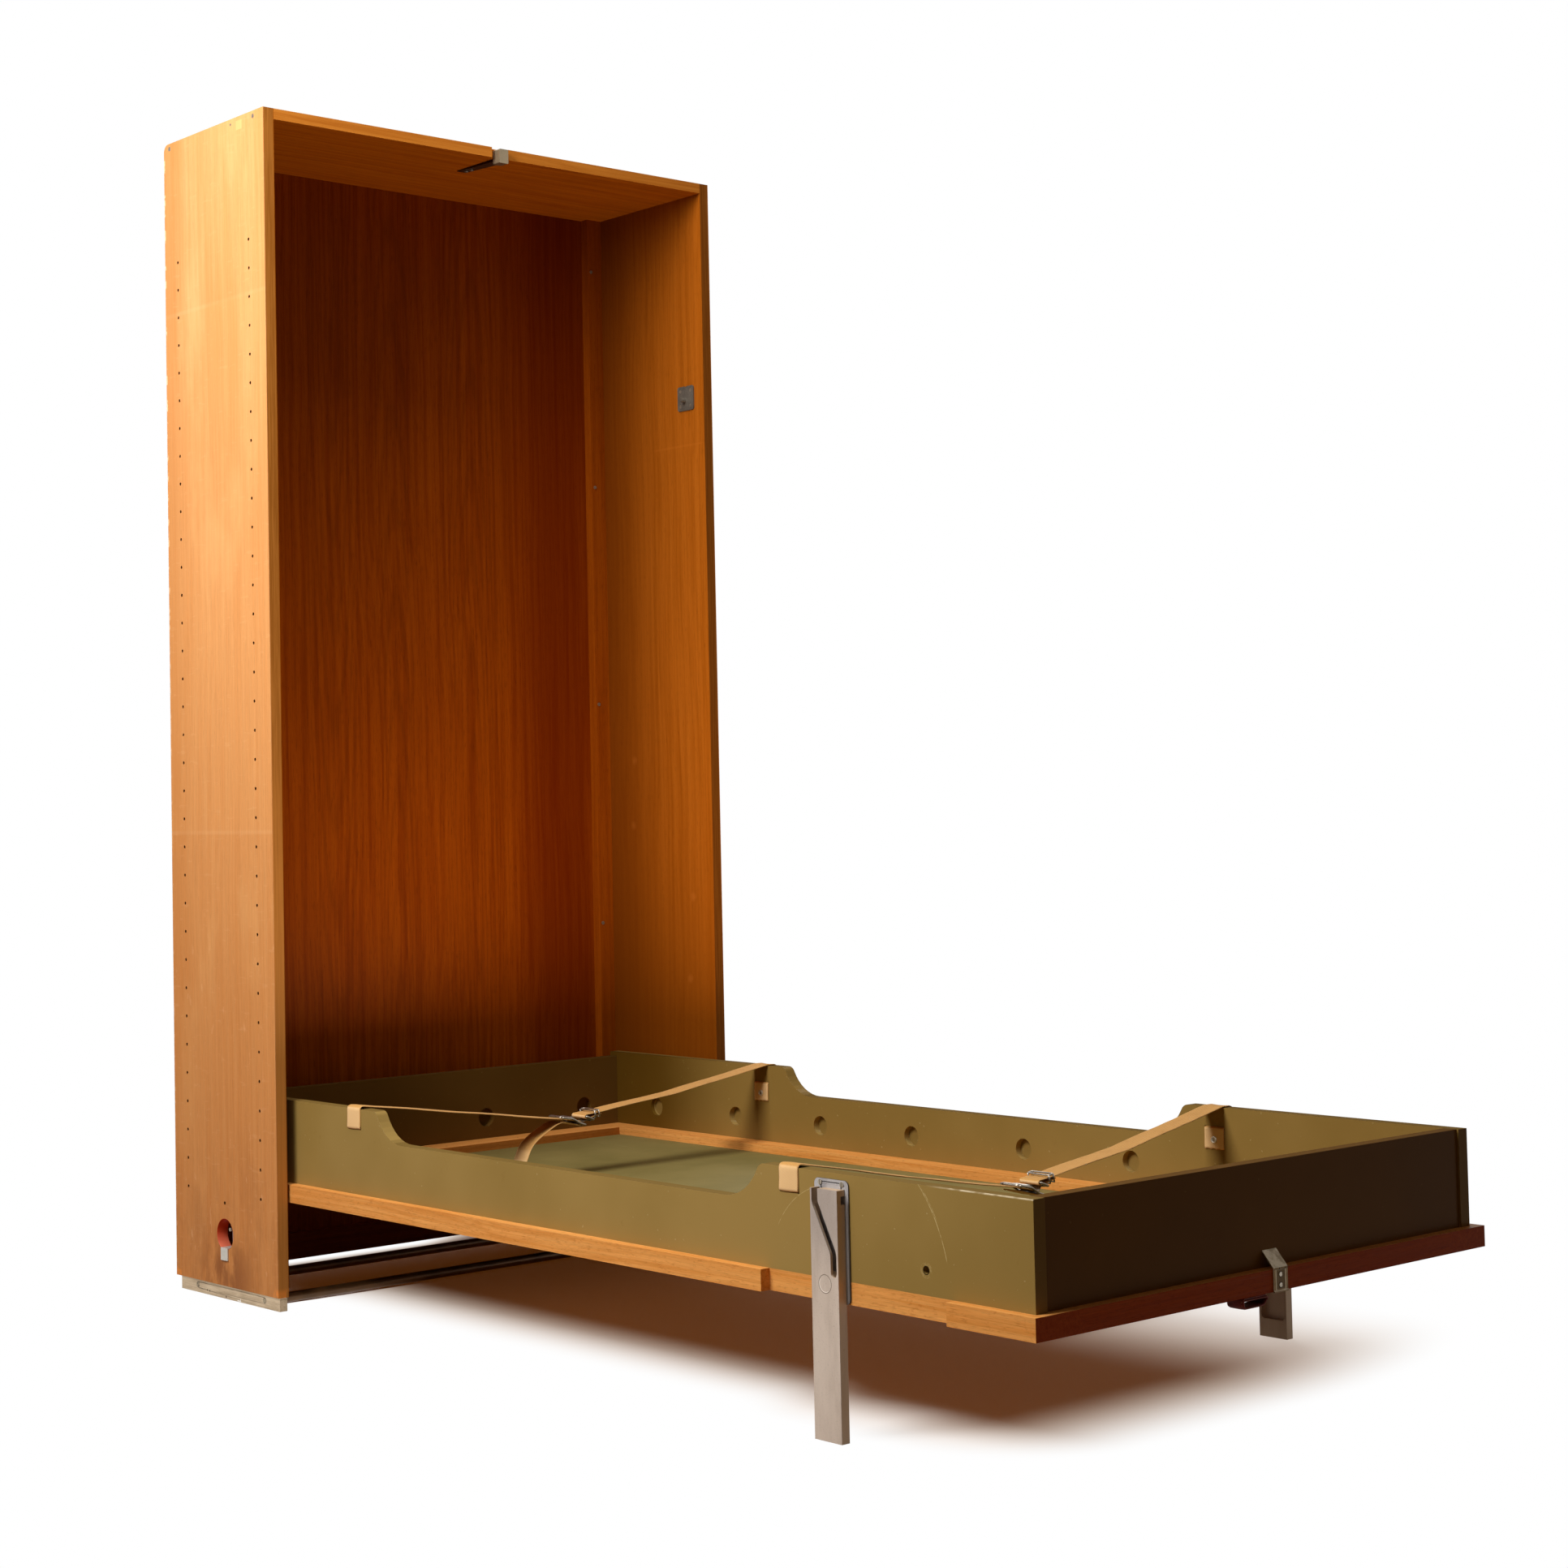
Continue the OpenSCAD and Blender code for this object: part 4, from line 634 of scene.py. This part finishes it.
def leather():
    """Dark red-brown strap leather, creased, with a row of stitches along both edges."""
    s = Shade("leather", rough=0.46, spec=0.10)
    pebble = s.noise(900, 2.0, 0.6)
    crease = s.grain(190, 60, 190, 3, 4.0, 0.7)
    s.colour = s.mix(s.step(s.noise(40, 3.0), 0.35, 0.65), lin(78, 20, 14), lin(122, 38, 24))
    s.coat(s.step(crease, 0.58, 0.70), 36, 10, 8, 0.6)
    u, v, _ = s.split(s.node("ShaderNodeUVMap").outputs[0])
    from_edge = s.sub(PULL_W / 2, s.abs(s.sub(v, PULL_W / 2)))
    groove = s.band(from_edge, 0.0026, 0.0032, 0.0004)
    stitch = s.mul(groove, s.step(s.math("SINE", s.mul(u, math.tau / 0.0045)), -0.3, 0.1))
    s.coat(groove, 30, 8, 6, 0.6)
    s.coat(stitch, 150, 88, 58, 0.8)
    s.coat(s.step(from_edge, 0.0010, 0.0002, 0.0, 0.5), 146, 66, 42)
    return s.done(s.add(s.sub(pebble, s.mul(groove, 1.5)), s.mul(crease, 1.6)), 0.35, 0.0006)


def dress(names, material, width=0.0, segments=2):
    """Gives CAD nodes a material; with a width, welds their loose corners and rounds their sharp edges."""
    for name in names.split():
        ob = nodes[name]
        ob.data.materials.clear()
        ob.data.materials.append(material)
        if width:
            ob.modifiers.new("weld", "WELD").merge_threshold = 0.00002
            bev = ob.modifiers.new("bevel", "BEVEL")
            bev.width = width
            bev.segments = segments
            bev.limit_method = "ANGLE"
            bev.angle_limit = math.radians(35)
            bev.use_clamp_overlap = True


def pair(name):
    return f"left_{name} right_{name}"


# Nail holes in the frame's top, along its inner strip
side_nails = [(sx * 0.412, FY - 1.55 + 0.1945 * k) for sx in (-1, 1) for k in range(9)]
end_nails = [(-0.33 + 0.165 * k, y) for k in range(5) for y in (FY - 1.655, FY + 0.223)]

for side, panel_seed, batten_seed in (("left", 1.7, 31), ("right", 4.2, 33)):
    dress(side + "_side_panel", panel_wood(side, panel_seed), 0.0009)
    dress(side + "_batten", batten_wood(side, "y", batten_seed, side_nails), 0.0016)
dress("head_batten", batten_wood("head", "x", 35, end_nails), 0.0012)
dress("foot_batten", batten_wood("foot", "x", 37, end_nails), 0.0016)
dress("top_panel", top_wood(), 0.0008)
red_bands = [(0.34, 0.40, 0.13, lin(92, 18, 1), 0.60), (-0.48, -0.43, 0.05, lin(110, 40, 1), 0.4)]
dress("back_panel", teak("back_teak", "z", 11, bands=red_bands))
dress(pair("back_cleat"), teak("cleat_teak", "z", 15, lin(158, 76, 8), lin(138, 60, 4)), 0.0008)
dress("back_rail", teak("rail_teak", "x", 17), 0.0008)
dress("front_panel", teak("front_teak", "y", 41, lin(150, 78, 30), lin(120, 54, 18)))
dress("base_panel", sheet_green())
dress("left_side_board", olive_paint("left", 51), 0.0012, 3)
dress("right_side_board", olive_paint("right", 53, rim=0.40, shade_tone=0.88), 0.0012, 3)
dress("head_board", olive_paint("head", 57, rim=0.35, face="y", shade_tone=0.42), 0.0012, 3)
dress("foot_board", olive_paint("foot", 55, rim=0.35, face="y", shade_tone=0.62), 0.0012, 3)

leg_grey = leg_metal()
dress(pair("leg"), leg_grey, 0.0006)
dress(pair("leg_pin"), leg_grey, 0.0003)
dress(pair("leg_plate"), leg_plate_metal(), 0.0005)
dress(pair("cam_plate"), metal("worn_plate", (120, 112, 100), 0.48, 0.6, 5, rust=0.25, dark=0.6), 0.0004)
zinc = metal("zinc", (205, 198, 186), 0.42, 0.55, 7, dark=0.82)
dress(pair("pivot_plate") + " " + pair("pivot_socket"), zinc, 0.0004)
dress(pair("anchor_strap"), zinc, 0.0006)
screw_steel = metal("screw_steel", (176, 164, 146), 0.36, 0.8, 9, dark=0.6)
dress(pair("spring_anchor") + " spring_studs", screw_steel, 0.0004)
dress("cleat_screws top_screws anchor_bolts leaf_screws cam_plate_screws leg_plate_screws foot_screws "
      "strap_screws", screw_steel, 0.0002)
dress("rod_bolts", bolt_metal(), 0.0002)
dress(pair("skid"), skid_metal(), 0.0005)
rod_brown = metal("rod_brown", (120, 84, 48), 0.40, 0.5, 14, brush="x", rust=0.5, dark=0.5)
dress("front_base_rod rear_base_rod", rod_brown, 0.0006)
dress("foot_hook", hook_metal(), 0.0004)
dress("latch_block", metal("latch_nickel", (150, 132, 104), 0.36, 0.6, 19, dark=0.75), 0.0008)
dark_spring = metal("dark_spring", (84, 66, 50), 0.38, 0.7, 16, brush="y", rust=0.35, dark=0.6)
dress("latch_leaf", dark_spring, 0.0003)

bright_steel = metal("bright_steel", (168, 158, 144), 0.30, 0.85, 8, dark=0.5)
washer_steel = metal("washer_steel", (226, 214, 192), 0.34, 0.5, 13, dark=0.7)
spring_steel = metal("spring_steel", (130, 124, 116), 0.34, 0.85, 18, dark=0.6)
strap_cloth = webbing()
hide = leather()


# Webbing, buckles, pull and springs

def arc(p, a, b, q):
    """The point at q, 0 to 1, of the curve from a to b that p pulls."""
    return a * (1 - q) ** 2 + p * (2 * q * (1 - q)) + b * q * q


def rounded(corners):
    """A flat path over (place, radius) corners, each rounded by its own radius."""
    pts = [Vector(p) for p, _ in corners]
    out = [pts[0]]
    for i in range(1, len(pts) - 1):
        p = pts[i]
        u, v = pts[i - 1] - p, pts[i + 1] - p
        lu, lv = u.length, v.length
        angle = max(0.05, u.angle(v))
        t = min(corners[i][1] / math.tan(angle / 2), 0.49 * lu, 0.49 * lv)
        out += [arc(p, p + u * (t / lu), p + v * (t / lv), k / 8) for k in range(9)]
    return out + [pts[-1]]


def even(points, step):
    """The same path in equal steps, and the length of one."""
    total = sum((b - a).length for a, b in zip(points, points[1:]))
    count = max(2, round(total / step))
    gap = total / count
    out, i = [points[0]], 0
    left = points[0]
    need = gap
    while len(out) < count and i < len(points) - 1:
        seg = (points[i + 1] - left).length
        if seg >= need:
            left = left + (points[i + 1] - left) * (need / seg)
            out.append(left.copy())
            need = gap
        else:
            need -= seg
            i += 1
            left = points[i]
    return out + [points[-1]], gap


def wave(*xs):
    """Smooth and repeatable unevenness between -1 and 1."""
    return sum(math.sin(x * f + ph) for x, (f, ph) in zip(xs, ((1.0, 0.3), (1.7, 1.9), (2.3, 4.1)))) / len(xs)


def finish_mesh(name, bm, material):
    bmesh.ops.recalc_face_normals(bm, faces=bm.faces)
    mesh = bpy.data.meshes.new(name)
    bm.to_mesh(mesh)
    bm.free()
    for f in mesh.polygons:
        f.use_smooth = True
    mesh.materials.append(material)
    ob = bpy.data.objects.new(name, mesh)
    bpy.context.scene.collection.objects.link(ob)
    return ob


def on_tray(name, bm, material, node=None):
    """Finishes a piece that rides on the tray, in the place of a CAD node if given."""
    ob = finish_mesh(name, bm, material)
    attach(ob, "tray")
    if node:
        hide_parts(node)


def ribbon(bm, path, y_mid, width, thick, cols=12, step=0.002, cup=0.0, sway=0.0, fray=(0.0, 0.0)):
    """Strip of webbing, hide or plate along a flat path in X and Z, wide along Y, with UVs in metres."""
    uv = bm.loops.layers.uv.verify()
    pts, gap = even(path, step)
    n = len(pts)
    rows = []
    for i, p in enumerate(pts):
        t = (pts[min(i + 1, n - 1)] - pts[max(i - 1, 0)]).normalized()
        up = Vector((-t.y, t.x))
        free = min(1.0, i / 12, (n - 1 - i) / 12)
        side_move = 0.0004 * wave(i * gap * 160, i * gap * 71) if any(fray) else 0.0
        row = []
        for side in (1, -1):
            for j in range(cols + 1):
                v = j / cols
                edge = min(v, 1 - v) * width
                half = thick / 2 * (1.0 if edge > thick * 0.5 else 0.45)
                lift = cup * free * (1 - (2 * v - 1) ** 2)
                lift += sway * free * wave(i * gap * 38, v * 3 + i * gap * 21)
                q = p + up * (side * half + lift)
                if i == 0 and fray[0]:
                    q = q - t * fray[0] * (0.5 + 0.5 * math.sin(j * 2.4 + 1) * math.sin(j * 5.1))
                if i == n - 1 and fray[1]:
                    q = q + t * fray[1] * (0.5 + 0.5 * math.sin(j * 2.9) * math.sin(j * 4.3 + 2))
                vert = bm.verts.new((q.x, y_mid + (v - 0.5) * width + side_move, q.y))
                row.append((vert, i * gap, v * width))
        rows.append(row)

    def face(corners):
        f = bm.faces.new([c[0] for c in corners])
        for loop, c in zip(f.loops, corners):
            loop[uv].uv = c[1:]

    m = cols + 1
    for r0, r1 in zip(rows, rows[1:]):
        for j in range(cols):
            face((r0[j], r0[j + 1], r1[j + 1], r1[j]))
            face((r0[m + j + 1], r0[m + j], r1[m + j], r1[m + j + 1]))
        face((r0[m], r0[0], r1[0], r1[m]))
        face((r0[cols], r0[m + cols], r1[m + cols], r1[cols]))
    for r in (rows[0], rows[-1]):
        for j in range(cols):
            face((r[j], r[m + j], r[m + j + 1], r[j + 1]))


def skin(bm, rings):
    """Faces between each ring of vertices and the next."""
    for r0, r1 in zip(rings, rings[1:]):
        for k in range(len(r0)):
            n = (k + 1) % len(r0)
            bm.faces.new((r0[k], r0[n], r1[n], r1[k]))


def turns(count):
    return [math.tau * k / count for k in range(count)]


def wire(bm, points, radius, sides=10, closed=False):
    """Round wire along a path in space."""
    n = len(points)
    pts = [Vector(p) for p in points]
    rings = []
    up = None
    for i, p in enumerate(pts):
        a = pts[(i - 1) % n] if closed else pts[max(i - 1, 0)]
        b = pts[(i + 1) % n] if closed else pts[min(i + 1, n - 1)]
        t = (b - a).normalized()
        if up is None:
            up = t.orthogonal().normalized()
        up = (up - t * up.dot(t)).normalized()
        side = t.cross(up)
        rings.append([bm.verts.new(p + (up * math.cos(w) + side * math.sin(w)) * radius)
                      for w in turns(sides)])
    skin(bm, rings + rings[:1] if closed else rings)
    if not closed:
        bm.faces.new(rings[0])
        bm.faces.new(rings[-1])


def rounded_loop(corners, radius, steps=6):
    """Closed path in space through corners, each rounded."""
    n = len(corners)
    out = []
    for i in range(n):
        p, a, b = (Vector(corners[k % n]) for k in (i, i - 1, i + 1))
        u, v = (a - p).normalized(), (b - p).normalized()
        out += [arc(p, p + u * radius, p + v * radius, k / steps) for k in range(steps + 1)]
    return out


# Straps: a near and a far part, each screwed inside its board, out through a slot and over the top
STRAP_Z = 0.318
SHEET_TOP = 0.1955


class Buckle:
    """Where a strap's buckle lies: the near part's end and lean, and the far part's."""

    def __init__(self, y, near, near_lean, far, far_lean):
        self.y = y
        self.near, self.near_lean = near, math.radians(near_lean)
        self.far, self.far_lean = far, math.radians(far_lean)

    def at_near(self, u, n):
        """A place u along the near strap and n above it, as X and Z."""
        c, d = math.cos(self.near_lean), math.sin(self.near_lean)
        return (self.near[0] + u * c + n * d, self.near[1] - u * d + n * c)

    def at_far(self, u, n):
        """The same for the far strap."""
        c, d = math.cos(self.far_lean), math.sin(self.far_lean)
        return (self.far[0] + u * c - n * d, self.far[1] + u * d + n * c)


def strap_tab(side, top):
    """Corners from a strap's screw, out through its slot and up to the board's top."""
    x_in, x_out = side * (BOARD_IN - 0.00115), side * (BOARD_OUT + 0.00115)
    return [((x_in, STRAP_Z - 0.032), 0), ((x_in, STRAP_Z), 0.0018), ((x_out, STRAP_Z), 0.0018),
            ((x_out, top), 0.0078)]


def lay_strap(name, node, k, corners, thick, cup, sway, fray):
    bm = bmesh.new()
    ribbon(bm, rounded(corners), k.y, STRAP_W, thick, cols=18, cup=cup, sway=sway, fray=fray)
    on_tray(name, bm, strap_cloth, node)


def near_strap(name, node, k, tail, knots=()):
    """Over the left board and the sheet to the buckle, round its bar, and a tail below."""
    wrap = 0.0031
    bend = [(wrap * math.cos(w), wrap * math.sin(w) - wrap) for w in map(math.radians, range(90, -91, -30))]
    corners = strap_tab(-1, 0.3560) + [(q, 0.2) for q in knots] + [(k.at_near(-0.042, 0.0), 0.05)]
    corners += [(k.at_near(*q), 0.002) for q in bend] + [(q, 0.05) for q in tail]
    lay_strap(name, node, k, corners, 0.0019, 0.0005, 0.0005, (0.0022, 0.0016))


def far_strap(name, node, k, knots=()):
    """Over the right board to the buckle's far frame, round it and a short way back."""
    top, wrap = 0.3514, 0.0036
    bend = [(wrap * math.cos(w), wrap * math.sin(w)) for w in map(math.radians, range(90, 271, 30))]
    corners = strap_tab(1, top) + [((0.4365, top), 0.010)] + [(q, 0.2) for q in knots]
    corners += [(k.at_far(0.028, 0.0018), 0.03)] + [(k.at_far(*q), 0.002) for q in bend]
    corners += [(k.at_far(0.010, -0.0042), 0.02), (k.at_far(0.033, -0.0020), 0)]
    lay_strap(name, node, k, corners, 0.0020, 0.0006, 0.0004, (0.0022, 0.0014))


def make_buckle(name, node, k):
    """Wire slide with its sheet clip, a curved hook, the far frame and the clip on the far fold."""
    bm = bmesh.new()
    half = STRAP_W / 2 + 0.0018

    def loop(at, us, radius, corner):
        """Closed wire over the places (u, n) on one side and back over them on the other."""
        ring = [(at(u, n)[0], k.y + side * half, at(u, n)[1])
                for side, order in ((1, us), (-1, us[::-1])) for u, n in order]
        wire(bm, rounded_loop(ring, corner), radius, closed=True)

    def bar(at, u, n, radius):
        x, z = at(u, n)
        wire(bm, [(x, k.y - half, z), (x, k.y + half, z)], radius)

    # Slide: a bent wire frame over and under the strap, with a sheet clip folded on its two upper bars
    last_bar, far_bar = (0.0115, -0.0046), (0.0150, -0.0088)
    loop(k.at_near, [(-0.040, 0.0030), (-0.018, 0.0030), (-0.001, -0.0031), last_bar], 0.0018, 0.0028)
    bar(k.at_near, 0.0, -0.0031, 0.0019)
    bar(k.at_near, -0.019, 0.0032, 0.0016)
    clip = [(-0.0425, 0.0020), (-0.0420, 0.0048), (-0.0390, 0.0054), (-0.0300, 0.0044), (-0.0200, 0.0052),
            (-0.0160, 0.0068), (-0.0140, 0.0050)]
    ribbon(bm, rounded([(k.at_near(*q), 0.0016) for q in clip]), k.y, 0.0335, 0.0011, cols=6, step=0.0012)
    # Far frame: through the fold of the far strap and back under it
    loop(k.at_far, [(0.0, 0.0), far_bar], 0.0018, 0.0028)
    # Hook between the slide's last bar and the far frame's lower bar
    a, b = Vector(k.at_near(*last_bar)), Vector(k.at_far(*far_bar))
    d = (b - a).normalized()
    up = Vector((-d.y, d.x))
    r = 0.0029
    hook = [(mid + d * r * math.cos(w) + up * r * math.sin(w), 0.0006)
            for mid, degrees in ((b, range(-110, 91, 20)), (a, range(90, 251, 20)))
            for w in map(math.radians, degrees)]
    ribbon(bm, rounded(hook), k.y, 0.020, 0.0015, cols=6, step=0.0010)
    # Wire clip round the far fold
    loop(k.at_far, [(0.0180, 0.0062), (0.0270, 0.0064)], 0.0013, 0.0030)
    for u in (0.0180, 0.0270):
        x, z = k.at_far(u, 0.0063)
        x2, z2 = k.at_far(u + 0.001, -0.0058)
        for side in (-1, 1):
            wire(bm, [(x, k.y + side * half, z), (x2, k.y + side * half, z2)], 0.0013)
        bar(k.at_far, u + 0.001, -0.0058, 0.0013)
    on_tray(name, bm, bright_steel, node)


def make_pull():
    """Leather pull: a flat loop whose ends lie one over the other under the foot batten."""
    x0, x1, top, low = -0.0215, -0.0740, 0.17835, 0.1650
    corners = [((x0 - 0.050, top - 0.0031), 0), ((x0, top - 0.0031), 0.0020),
               ((x0 - 0.010, low + 0.0005), 0.008), ((x0 - 0.020, low), 0.02), ((x1 + 0.012, low), 0.02),
               ((x1, low), 0.0065), ((x1, top), 0.0022), ((x1 + 0.046, top), 0)]
    bm = bmesh.new()
    ribbon(bm, rounded(corners), PULL_Y, PULL_W, 0.0030, cols=10, step=0.0016, cup=0.0002, sway=0.0002)
    on_tray("leather_pull", bm, hide, "pull_handle")


def make_washers():
    """Cupped washers under the strap screws, inside the side boards."""
    bm = bmesh.new()
    screw_z = STRAP_Z - 0.019
    for side in (-1, 1):
        for y in (rear.y, front.y):
            rings = [[bm.verts.new((side * x, y + radius * math.cos(w), screw_z + radius * math.sin(w)))
                      for w in turns(32)]
                     for radius, x in ((0.0027, 0.4353), (0.0027, 0.4345), (0.0042, 0.4338), (0.0056, 0.4343),
                                       (0.0059, 0.4353))]
            skin(bm, rings + rings[:1])
    on_tray("strap_washers", bm, washer_steel)


def make_spring(name, node, side):
    """Counterbalance spring, hooked on its two studs."""
    foot, head = Vector((0.175, 0.118)), Vector((0.235, 0.262))
    d = (head - foot).normalized()
    across = Vector((-d.y, d.x))
    span = (head - foot).length
    lead, coil_r, hook_r, curls, per_curl = 0.0075, 0.0048, 0.0042, 24, 20

    def place(s, a, outward):
        """A point s along the spring, a square to it and outward along X."""
        q = foot + d * s + across * a
        return (side * (SPRING_X + outward), FY + q.x, q.y)

    def hook(s, sign, degrees):
        return [place(s + sign * hook_r * math.cos(w), hook_r * math.sin(w), 0.0)
                for w in map(math.radians, degrees)]

    pts = hook(0.0, -1, range(-130, 151, 20))
    count = curls * per_curl
    for i in range(count + 1):
        w = math.tau * i / per_curl
        grow = coil_r * min(1.0, i / 10, (count - i) / 10)
        pts.append(place(lead + (span - 2 * lead) * i / count, grow * math.cos(w), grow * math.sin(w)))
    pts += hook(span, 1, range(150, -131, -20))
    bm = bmesh.new()
    wire(bm, pts, 0.0010, sides=8)
    ob = finish_mesh(name, bm, spring_steel)
    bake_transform(ob)
    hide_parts(node)


rear = Buckle(-0.177 + FY, (-0.0040, 0.2880), 10, (0.0090, 0.2955), 7.5)
near_strap("rear_webbing_near", "rear_strap_near", rear,
           [rear.at_near(-0.038, -0.0046), (-0.0560, 0.2860), (-0.0835, 0.2725), (-0.1016, 0.2622),
            (-0.1130, 0.2490), (-0.1220, 0.2310), (-0.1275, 0.2130), (-0.1310, SHEET_TOP + 0.0035)])
far_strap("rear_webbing_far", "rear_strap_far", rear, [(0.219, 0.3190)])
front = Buckle(-1.250 + FY, (0.0117, 0.2680), 12, (0.0150, 0.2795), 9)
near_strap("front_webbing_near", "front_strap_near", front,
           [front.at_near(-0.020, -0.0056), front.at_near(-0.036, -0.0046)], [(-0.200, 0.3060)])
far_strap("front_webbing_far", "front_strap_far", front, [(0.219, 0.3090)])
make_buckle("rear_clasp", "rear_buckle", rear)
make_buckle("front_clasp", "front_buckle", front)
make_pull()
make_washers()
make_spring("left_coil", "left_spring", -1)
make_spring("right_coil", "right_spring", 1)


# Studio

def area_light(name, at, to, size, power, colour=WHITE[:3]):
    data = bpy.data.lights.new(name, "AREA")
    data.energy = power
    data.color = colour
    data.size = size
    ob = bpy.data.objects.new(name, data)
    ob.location = at
    ob.rotation_euler = (Vector(to) - Vector(at)).to_track_quat("-Z", "Y").to_euler()
    bpy.context.scene.collection.objects.link(ob)
    return ob


def make_floor():
    """White floor that keeps the bed's shadow near it, with the shadow's outline, tint and a contact shadow
    painted in, and shows plain white farther out.
    """
    bm = bmesh.new()
    n, half, level = 24, 30.0, -0.0006
    at = [-half + 2 * half * i / n for i in range(n + 1)]
    grid = [[bm.verts.new((x, y, level)) for y in at] for x in at]
    for i in range(n):
        for j in range(n):
            bm.faces.new((grid[i][j], grid[i + 1][j], grid[i + 1][j + 1], grid[i][j + 1]))
    mesh = bpy.data.meshes.new("floor")
    bm.to_mesh(mesh)
    bm.free()
    ob = bpy.data.objects.new("floor", mesh)
    bpy.context.scene.collection.objects.link(ob)
    s = Shade("floor_white", rough=0.75, spec=0.2)
    path = s.node("ShaderNodeLightPath")
    seen = s.math("ADD", path.outputs["Is Camera Ray"], path.outputs["Is Glossy Ray"], clamp=True)
    seen = s.math("ADD", seen, path.outputs["Is Transmission Ray"], clamp=True)
    # What the camera sees: near white, but brown in a contact shadow painted behind the cabinet. What the bed
    # sees: a warm brown that tints the light from below, darker towards the foot
    cast = s.mix(s.step(s.y, -0.55, -1.05), (0.24, 0.17, 0.12, 1), (0.12, 0.065, 0.03, 1))
    behind = s.mul(s.mul(s.step(s.y, 1.00, 1.02), s.fall(s.y, 1.05, 1.14)),
                   s.mul(s.step(s.x, -0.5, -0.3), s.fall(s.x, 0.10, 0.50)))
    plain = s.mix(behind, (0.92, 0.91, 0.905, 1), (0.09, 0.050, 0.027, 1))
    s.put("Base Color", s.mix(seen, cast, plain))
    # Painted light in the shadow: to the camera alone the floor glows a faint brown, less towards the cabinet
    shadow_glow = s.mix(s.step(s.y, 0.20, 0.75), (0.088, 0.026, 0.004, 1), (0.045, 0.012, 0.001, 1))
    s.put("Emission Color", s.mix(seen, BLACK, shadow_glow))
    s.put("Emission Strength", 1.0)

    # How far a point is past each edge of the kept shadow, over the width in which it fades: the shadow's
    # outline is painted here. Under the cabinet, from y 0.735, the left edge follows the left skid's shadow
    # and is sharp
    under = s.step(s.y, 0.735, 0.750)
    skew = s.math("ADD", s.mul(s.y, 0.69), -1.0095)
    left_at = s.add(s.mul(s.step(s.y, -0.50, -0.35, -0.205, -0.16), s.sub(1.0, under)), s.mul(under, skew))
    left_width = s.add(s.step(s.y, 0.735, 0.750, 0.24, 0.012), s.step(s.y, 0.99, 1.06, 0.0, 0.16))
    left = s.div(s.sub(left_at, s.x), left_width)
    right = s.div(s.sub(s.x, s.step(s.y, -0.45, -0.20, 0.12, 0.55)), 0.66)
    foot = s.most(s.div(s.sub(-0.70, s.y), 0.27), 0.0)
    rear = s.sub(s.y, s.step(s.x, 0.05, 0.45, 1.045, 1.15))
    rear = s.most(s.div(rear, s.step(s.x, 0.05, 0.45, 0.065, 0.30)), 0.0)
    fade = s.step(s.hypot(s.most(s.most(left, right), 0.0), s.most(foot, rear)), 0.0, 1.0)
    # Past its edges the floor shows white, warm part way: a painted warm rim to the shadow
    white = s.node("ShaderNodeEmission")
    s.fill(white.inputs, s.mix(fade, (1, 0.80, 0.62, 1), WHITE), 1.0)
    mixer = s.node("ShaderNodeMixShader")
    s.fill(mixer.inputs, s.mul(seen, fade), s.bsdf.outputs["BSDF"], white.outputs[0])
    s.join(mixer.outputs[0], s.out.inputs["Surface"])
    mesh.materials.append(s.mat)


def make_world():
    """Plain white to the camera, and a weak warm light to the bed."""
    world = bpy.data.worlds.new("studio")
    bpy.context.scene.world = world
    world.use_nodes = True
    tree = world.node_tree
    tree.nodes.clear()
    link = tree.links.new
    path = tree.nodes.new("ShaderNodeLightPath")
    seen = path.outputs["Is Camera Ray"]
    for kind in ("Is Glossy Ray", "Is Transmission Ray"):
        more = tree.nodes.new("ShaderNodeMath")
        more.operation = "ADD"
        more.use_clamp = True
        link(seen, more.inputs[0])
        link(path.outputs[kind], more.inputs[1])
        seen = more.outputs[0]
    mixer = tree.nodes.new("ShaderNodeMixShader")
    link(seen, mixer.inputs[0])
    for socket, colour, strength in ((1, (0.95, 0.62, 0.38, 1), 0.035), (2, WHITE, 1.0)):
        light = tree.nodes.new("ShaderNodeBackground")
        light.inputs["Color"].default_value = colour
        light.inputs["Strength"].default_value = strength
        link(light.outputs[0], mixer.inputs[socket])
    link(mixer.outputs[0], tree.nodes.new("ShaderNodeOutputWorld").inputs["Surface"])


make_floor()
make_world()
area_light("key", (-2.5, 0.0, 2.6), (-0.1, 0.1, 0.7), 1.3, 107)
area_light("top", (-0.7, 0.1, 3.6), (-0.2, 0.0, 0), 1.6, 56)
# The lift shines up inside the cabinet, and leaves out the folded front and the side battens
lift = area_light("lift", (0.0, 0.40, 0.42), (0.0, 0.40, 2.0), 0.6, 6.5, (1.0, 0.82, 0.64))
area_light("back_fill", (2.2, 2.6, 2.4), (0.1, 0.8, 0.9), 2.0, 30)
spared = bpy.data.collections.new("spared")
for name in ("front_panel", "left_batten", "right_batten"):
    spared.objects.link(nodes[name])
lift.light_linking.receiver_collection = spared
for entry in spared.collection_objects:
    entry.light_linking.link_state = "EXCLUDE"

bpy.context.scene.view_settings.view_transform = "Standard"
